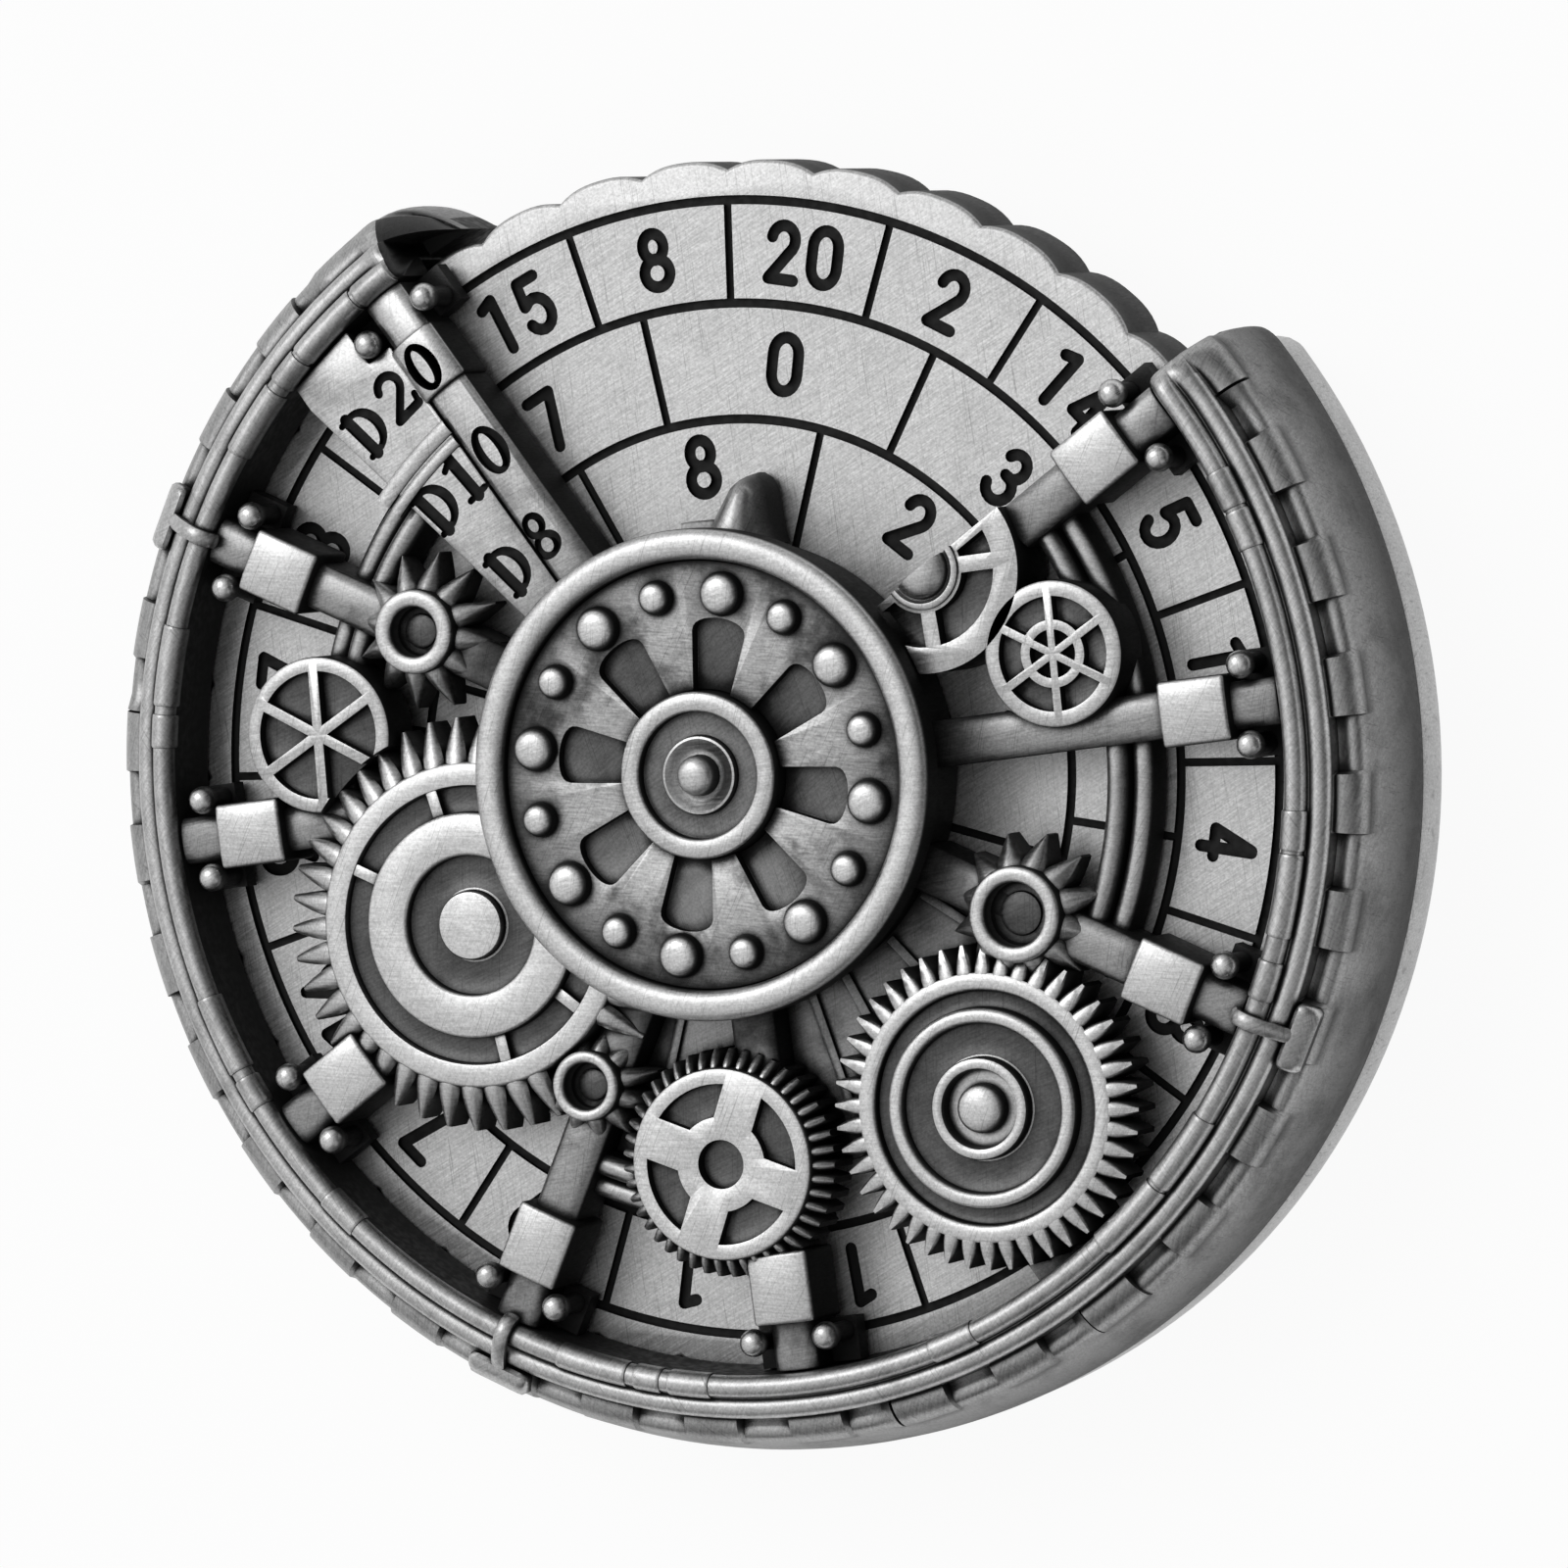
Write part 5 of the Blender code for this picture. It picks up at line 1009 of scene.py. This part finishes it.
names = label_cutters("D20", 20.9, -50.6, 2.05, 5.15)
names += label_cutters("D10", 16.45, -50.7, 2.1, 5.9)
names += label_cutters("D8", 12.35, -51.0, 2.05, 9.0)
name_shape = gathered(names)
plate_plan = [(10.1, -1.0), (22.6, -1.0), (22.6, -2.2), (24.3, -2.2), (23.85, -5.5), (22.7, -5.5), (10.1, -3.0)]
label_plate = cast("label_plate_wedge", slab(on_plan(plate_plan, LABEL_HEADING), 7.3, 9.52), plate_finish)
soften(label_plate, 0.1)
carve(label_plate, cast("plate_names", name_shape.copy(), plate_filling), overlapping=True)
fit(label_plate, "label_plate")
last_spoke = soften(cast("last_spoke_bar", spoke_bar(SPOKE_START), plate_finish), 0.08)
in_row(last_spoke, 1, SPOKE_REACH, LABEL_HEADING, SPOKE_PITCH)
carve(last_spoke, cast("bar_names", name_shape.copy(), plate_filling), overlapping=True)
fit(last_spoke, "spoke_9")
last_collar = bar(19.7, 22.3, 1.12, 7.3, 9.98, 0.22)
last_collar = soften(cast("last_collar", last_collar, collar_finish), 0.12, steps=3)
in_row(last_collar, 1, SPOKE_REACH, LABEL_HEADING, SPOKE_PITCH)
carve(last_collar, cast("collar_names", name_shape, plate_filling), overlapping=True)
fit(last_collar)
bands = []
for middle, half, last in ((18.45, 0.36, -48.0), (17.75, 0.26, -48.2)):
    rows = []
    for step in range(13):
        heading = BANDS_START + (last - BANDS_START) * step / 12
        rows.append([polar(middle + half * math.cos(math.pi * turn / 8), heading,
                           9.44 + 0.2 * math.sin(math.pi * turn / 8) ** 0.5) for turn in range(9)])
    bands.append(loft(rows))
plate_bands = cast("plate_bands", gathered(bands), plate_finish)
fit(plate_bands)


# Left gear: the largest gear, partly under the hub, with a broad raised ring.
# Cast pewter, bright on the ring, boss and teeth, grey in the sunk floors.
# Its pointed teeth slope down from the rim; four short arms cross the sunk floor.
gear_finish = pewter("gear_pewter", worn=0.66, aged=0.22, brush_turn=8.0, side_shade=(0.15, 0.75), cavity=0.4,
                     streaks=0.16, blotches=0.12)
gear_floor_finish = pewter("gear_floor_pewter", worn=0.11, aged=0.06, brush_turn=30.0, side_shade=(0.3, 0.9), cavity=0.45,
                           streaks=0.25, blotches=0.4, brush=(0.7, 0.09))
tooth_finish = pewter("gear_tooth_pewter", worn=0.64, aged=0.2, brush_turn=8.0, side_shade=(0.0, 0.65), cavity=0.35,
                      blotches=0.15)


def tooth(half, length, low, root_top, tip_top, tip_half, full, flat, fall):
    """A rounded tooth that narrows and slopes down to its tip, drawn outward from its root circle."""
    rows = []
    for share in (-0.2, 0.0, 0.25, 0.5, 0.72, 0.88, 1.0):
        out = max(share, 0.0)
        wide = tip_half + (half - tip_half) * (1.0 - out ** full)
        top = root_top + (tip_top - root_top) * out ** 1.3
        drop = fall * (0.35 + 0.65 * wide / half)
        edge = [(wide, top - drop), (0.5 * (1.0 + flat) * wide, top - 0.3 * drop), (flat * wide, top)]
        edge += [(-across, level) for across, level in reversed(edge)]
        rows.append([(across, share * length, level) for across, level in [(-wide, low), (wide, low)] + edge])
    return loft(rows)


def gear_face(name, centre, profile, floors=(), finish=gear_finish):
    """A turned gear blank with its sunk floors in grey; floors are radius spans below a level."""
    blank = cast(name, spun(profile, 128, centre=centre), finish, gear_floor_finish)
    for face in blank.data.polygons:
        reach = math.hypot(face.center.x / MM - centre[0], face.center.y / MM - centre[1])
        for inner, outer, level in floors:
            if inner < reach < outer and face.center.z < level * MM:
                face.material_index = 1
    return blank


def round_cutter(centre, radius):
    """A round cutter through every level of the gears."""
    return slab(circle(centre, radius, 128), 6.0, 13.0)


HUB_EDGE = 10.02
LOWER_LEFT_PINION = (14.0, -163.8)
LEFT_TEETH = 42
left_centre = spot_at(12.46, -128.1)
left_profile = [(0.0, 10.62), (1.22, 10.62), (1.36, 10.59), (1.43, 10.5), (1.45, 10.16), (1.52, 10.12), (2.76, 10.12),
                (2.84, 10.16), (2.86, 10.5), (2.92, 10.59), (3.02, 10.62), (4.48, 10.62), (4.58, 10.58), (4.63, 10.5),
                (4.65, 10.02), (4.72, 9.98), (5.6, 9.98), (5.67, 10.02), (5.7, 10.3), (5.75, 10.38), (5.83, 10.4),
                (6.54, 10.4), (6.64, 10.36), (6.7, 10.25), (6.7, 8.2), (0.0, 8.2)]
left_gear = gear_face("left_gear_face", left_centre, left_profile, ((1.5, 2.8, 10.2), (4.66, 5.66, 10.1)))
arms = [slab(on_plan(rectangle(4.5, 5.8, -0.25, 0.25), heading), 9.0, 10.34)
        for heading in (-26.0, -75.0, 118.0, 158.0)]
left_arms = soften(cast("left_gear_arms", gathered(arms), gear_finish), 0.06)
for vertex in left_arms.data.vertices:
    vertex.co.x += left_centre[0] * MM
    vertex.co.y += left_centre[1] * MM
carve(left_gear, cast("left_gear_trim", round_cutter((0.0, 0.0), HUB_EDGE), gear_finish))
fit(left_gear, "left_gear")
fit(left_arms)
left_teeth = cast("left_gear_teeth", tooth(0.5, 1.9, 8.0, 10.36, 9.55, 0.13, 1.5, 0.32, 0.26), tooth_finish)
in_row(left_teeth, LEFT_TEETH, 6.62, 3.0, 360.0 / LEFT_TEETH, left_centre, hub=10.0,
       neighbour=spot_at(*LOWER_LEFT_PINION), neighbour_clear=2.2)
fit(left_teeth)


# Bottom gear: a thick gear with four windows and fine rounded teeth down its side.
# Cast pewter, bright and brushed across its face, grey in the windows.
# It stands above its neighbours, and its teeth start below the face.
BOTTOM_TEETH = 45
bottom_centre = spot_at(15.85, 171.0)
bottom_profile = [(0.0, 10.7), (3.78, 10.7), (3.88, 10.66), (3.93, 10.56), (3.95, 10.2), (3.95, 8.2), (0.0, 8.2)]
bottom_gear = gear_face("bottom_gear_face", bottom_centre, bottom_profile)


def sector(centre, inner, outer, middle, wide, arm):
    """Plan outline of a window between two arms with straight sides."""
    plan = []
    for radius, order in ((outer, 1), (inner, -1)):
        margin = math.degrees(math.asin(min(1.0, arm / 2 / radius)))
        span = wide - 2 * margin
        turns = [middle - span / 2 + span * step / 10 for step in range(11)]
        for x, y in [spot_at(radius, turn) for turn in turns[::order]]:
            plan.append((centre[0] + x, centre[1] + y))
    return plan


window_cuts = [slab(circle(bottom_centre, 1.0, 40), 10.05, 11.5)]
for number in range(4):
    window_cuts.append(slab(sector(bottom_centre, 1.93, 3.28, 55.5 + 90.0 * number, 90.0, 1.75), 10.2, 11.5))
carve(bottom_gear, cast("bottom_gear_windows", gathered(window_cuts), gear_floor_finish))
soften(bottom_gear, 0.05)
fit(bottom_gear, "bottom_gear")
bottom_teeth = cast("bottom_gear_teeth", tooth(0.2, 0.74, 8.0, 10.44, 9.9, 0.13, 2.2, 0.3, 0.22), tooth_finish)
in_row(bottom_teeth, BOTTOM_TEETH, 3.92, 2.0, 360.0 / BOTTOM_TEETH, bottom_centre)
fit(bottom_teeth)


# Right gear: a dished gear with two raised rings about a round boss.
# Cast pewter, bright on the rings and teeth, dark grey in the dish.
# It stands clear of the rim, in the place where a spoke is left out.
RIGHT_TEETH = 44
right_centre = spot_at(17.72, 131.2)
right_profile = [(0.0, 10.75), (0.5, 10.73), (0.82, 10.65), (0.96, 10.52), (1.0, 10.3), (1.02, 9.95), (1.56, 9.95),
                 (1.58, 10.45), (1.64, 10.6), (1.74, 10.65), (1.92, 10.65), (2.02, 10.6), (2.07, 10.48), (2.09, 9.99),
                 (2.15, 9.96), (3.34, 9.96), (3.4, 10.0), (3.43, 10.3), (3.5, 10.42), (3.6, 10.46), (3.88, 10.46),
                 (3.99, 10.4), (4.05, 10.28), (4.07, 9.68), (4.13, 9.64), (4.64, 9.64), (4.7, 9.68), (4.73, 10.0),
                 (4.78, 10.1), (4.88, 10.15), (5.36, 10.15), (5.44, 10.1), (5.46, 9.95), (5.46, 8.0), (0.0, 8.0)]
right_gear = gear_face("right_gear_face", right_centre, right_profile, ((2.12, 3.38, 10.05), (4.08, 4.72, 9.9)))
fit(right_gear, "right_gear")
right_teeth = cast("right_gear_teeth", tooth(0.38, 1.18, 7.98, 10.13, 9.85, 0.1, 1.55, 0.6, 0.2), tooth_finish)
in_row(right_teeth, RIGHT_TEETH, 5.4, 0.0, 360.0 / RIGHT_TEETH, right_centre)
fit(right_teeth)


# Pinions: three small stars with raised hollow hubs.
# Cast pewter, bright on the rounded ring and along the tooth ridges, black between them.
# Their spiky teeth slope down to the deck.
pinion_finish = pewter("pinion_ring_pewter", worn=0.66, aged=0.2, brush_turn=20.0, side_shade=(0.0, 0.6), cavity=0.45,
                       streaks=0.22, blotches=0.15)
star_finish = pewter("pinion_star_pewter", worn=0.62, aged=0.17, brush_turn=20.0, side_shade=(-0.1, 0.6), cavity=0.4,
                     blotches=0.25)
for name, along, heading, tip, ring, hole, teeth, first in (
        ("upper_left_pinion", 14.31, -74.2, 3.25, 1.74, 1.03, 12, 2.0),
        ("lower_left_pinion", *LOWER_LEFT_PINION, 2.62, 1.45, 0.96, 11, 5.0),
        ("lower_right_pinion", 14.34, 104.9, 3.25, 1.95, 1.3, 12, 8.0)):
    centre = spot_at(along, heading)
    half = (ring - hole) / 2
    middle = (ring + hole) / 2
    ring_profile = [(0.0, 9.86), (0.56 * hole, 9.84), (0.66 * hole, 9.8), (0.7 * hole, 9.66), (0.92 * hole, 9.66),
                    (hole, 9.8)]
    ring_profile += [(middle - half * math.cos(math.pi * step / 12), 10.4 + 0.3 * math.sin(math.pi * step / 12) ** 0.5)
                     for step in range(13)]
    ring_profile += [(ring, 10.1), (ring, 8.2), (0.0, 8.2)]
    ring_thing = gear_face(name + "_ring", centre, ring_profile, ((0.0, 1.02 * hole, 10.1),), pinion_finish)
    fit(ring_thing, name)
    star_tooth = tooth(0.52 * ring / 1.74, tip - ring + 0.15, 8.0, 10.2, 9.1, 0.06, 1.35, 0.14, 0.36)
    star = cast(name + "_star", star_tooth, star_finish)
    in_row(star, teeth, ring - 0.15, first, 360.0 / teeth, centre)
    fit(star)


# Wheels: two small spoked wheels that lie over the rails.
# Cast pewter, bright on rim and spokes, grey on the sunk floor between them.
# The right one has a second ring about its middle.
wheel_finish = pewter("wheel_pewter", worn=0.58, aged=0.18, brush_turn=15.0, side_shade=(0.2, 0.8), cavity=0.3,
                      blotches=0.18)
left_wheel_centre = spot_at(17.7, -93.1)
right_wheel_centre = spot_at(15.72, 64.0)


def wheel(name, centre, radius):
    """A wheel's blank disc."""
    profile = [(0.0, 10.3), (radius - 0.12, 10.3), (radius - 0.03, 10.25), (radius, 10.15), (radius, 8.0),
               (0.0, 8.0)]
    return gear_face(name, centre, profile, finish=wheel_finish)


left_wheel = wheel("left_wheel_face", left_wheel_centre, 3.22)
cuts = [slab(sector(left_wheel_centre, 0.42, 2.64, 18.0 + 60.0 * number, 60.0, 0.42), 9.75, 11.0)
        for number in range(6)]
carve(left_wheel, cast("left_wheel_windows", gathered(cuts), gear_floor_finish))
carve(left_wheel, cast("left_wheel_trim", round_cutter(left_centre, 8.2), gear_floor_finish))
soften(left_wheel, 0.05)
fit(left_wheel, "left_wheel")
right_wheel = wheel("right_wheel_face", right_wheel_centre, 2.95)
cuts = []
for number in range(6):
    middle = 17.0 + 60.0 * number
    cuts.append(slab(sector(right_wheel_centre, 1.36, 2.32, middle, 60.0, 0.34), 9.75, 11.0))
    cuts.append(slab(sector(right_wheel_centre, 0.32, 0.98, middle, 60.0, 0.3), 9.75, 11.0))
carve(right_wheel, cast("right_wheel_windows", gathered(cuts), gear_floor_finish))
soften(right_wheel, 0.04)
fit(right_wheel, "right_wheel")


# Half wheel: half a spoked wheel whose cut edge continues the side of the first spoke.
# Cast pewter, bright on its rim and arms, with half a dome on the cut edge.
# It joins the hub to the spoke at the window's right side.
half_middle = (12.4, -0.955)
half_centre = on_plan([half_middle], FIRST_SPOKE_HEADING)[0]
half_plan = on_plan(bow(*half_middle, 4.18, 4.18, 0, 180, 48), FIRST_SPOKE_HEADING)
half_wheel = cast("half_wheel_face", slab(half_plan, 7.1, 10.3), wheel_finish)
cuts = [slab(sector(half_centre, 1.75, 3.12, (first + last) / 2, last - first, 0.66), 9.6, 11.0)
        for first, last in ((45.0, 75.0), (75.0, 163.0), (163.0, 225.0))]
carve(half_wheel, cast("half_wheel_windows", gathered(cuts), gear_floor_finish))
carve(half_wheel, cast("half_wheel_trim", round_cutter((0.0, 0.0), HUB_EDGE), wheel_finish))
soften(half_wheel, 0.06)
fit(half_wheel, "half_wheel")
dome_profile = [(1.62, 10.2), (1.6, 10.42), (1.5, 10.48), (1.36, 10.46), (1.28, 10.36), (1.2, 10.34)]
dome_profile += bow(0.0, 10.34, 1.18, 0.62, 0, 90, 8) + [(0.0, 10.2)]
dome = spun(dome_profile, 40, centre=half_centre, first=FIRST_SPOKE_HEADING, sweep=180.0, ring=True)
half_dome = cast("half_wheel_dome", dome, wheel_finish)
fit(half_dome)


# Floor, light and camera: a plain white sweep under soft studio light.
# The camera stands where the photographer stood, well above the spinner and to its right.
# The floor keeps a soft shadow and is white to the lens.
FLOOR_RADIUS = 2500.0
FLOOR_GLOW = 0.93
BRIGHT_SIDE = (-0.6, 0.16, 0.78)
floor_shape = bmesh.new()
bmesh.ops.create_circle(floor_shape, cap_ends=True, segments=96, radius=FLOOR_RADIUS)
floor = cast("floor", floor_shape)
floor_finish = bpy.data.materials.new("white_floor")
floor_finish.use_nodes = True
floor_tree = floor_finish.node_tree
floor_shader = floor_tree.nodes["Principled BSDF"]
join(floor_tree, floor_shader, [("Base Color", grey(0.9)), ("Roughness", 0.7)])
glow = add_node(floor_tree, "ShaderNodeEmission", [("Color", grey(1.0)), ("Strength", 1.0)])
rays = add_node(floor_tree, "ShaderNodeLightPath").outputs
direct = rays["Is Camera Ray"]
for kind in ("Is Glossy Ray", "Is Transmission Ray"):
    direct = reckoned(floor_tree, "MAXIMUM", direct, rays[kind])
share = reckoned(floor_tree, "MULTIPLY", direct, FLOOR_GLOW)
floor_mix = add_node(floor_tree, "ShaderNodeMixShader", [(0, share), (1, floor_shader.outputs[0]),
                                                         (2, glow.outputs[0])])
floor_tree.links.new(floor_mix.outputs[0], floor_tree.nodes["Material Output"].inputs["Surface"])
floor.data.materials.append(floor_finish)

world = bpy.data.worlds.new("studio")
bpy.context.scene.world = world
world.use_nodes = True
sky_tree = world.node_tree
sky = sky_tree.nodes["Background"]
aim = add_node(sky_tree, "ShaderNodeTexCoord").outputs["Generated"]
toward = vectors(sky_tree, "DOT_PRODUCT", aim, BRIGHT_SIDE)
level = ranged(sky_tree, toward, -0.05, 0.92, 0.08, 0.84)
join(sky_tree, sky, [("Color", even_colour(sky_tree, level)), ("Strength", 1.0)])


def softbox(name, spot, size, power):
    """A square studio lamp that faces the spinner."""
    lamp = bpy.data.lights.new(name, "AREA")
    lamp.shape = "SQUARE"
    lamp.size = size
    lamp.energy = power
    thing = bpy.data.objects.new(name, lamp)
    bpy.context.scene.collection.objects.link(thing)
    thing.location = spot
    reach = math.hypot(spot[0], spot[1])
    thing.rotation_euler = (math.atan2(reach, spot[2]), 0.0, math.atan2(spot[1], spot[0]) + math.pi / 2)


softbox("key_lamp", (-0.32, 0.22, 0.5), 0.34, 0.95)
softbox("fill_lamp", (0.5, -0.25, 0.4), 0.4, 0.18)
lens = bpy.data.cameras.new("camera")
lens.sensor_width = 36.0
lens.lens = 248.99
lens.clip_start = 0.01
camera = bpy.data.objects.new("camera", lens)
bpy.context.scene.collection.objects.link(camera)
camera.matrix_world = Matrix(((0.912885, -0.143473, 0.382172, 0.170643),
                              (0.110456, 0.988094, 0.107101, 0.046963),
                              (-0.392988, -0.055558, 0.917864, 0.412407),
                              (0.0, 0.0, 0.0, 1.0)))
bpy.context.scene.camera = camera
bpy.context.scene.view_settings.view_transform = "Standard"
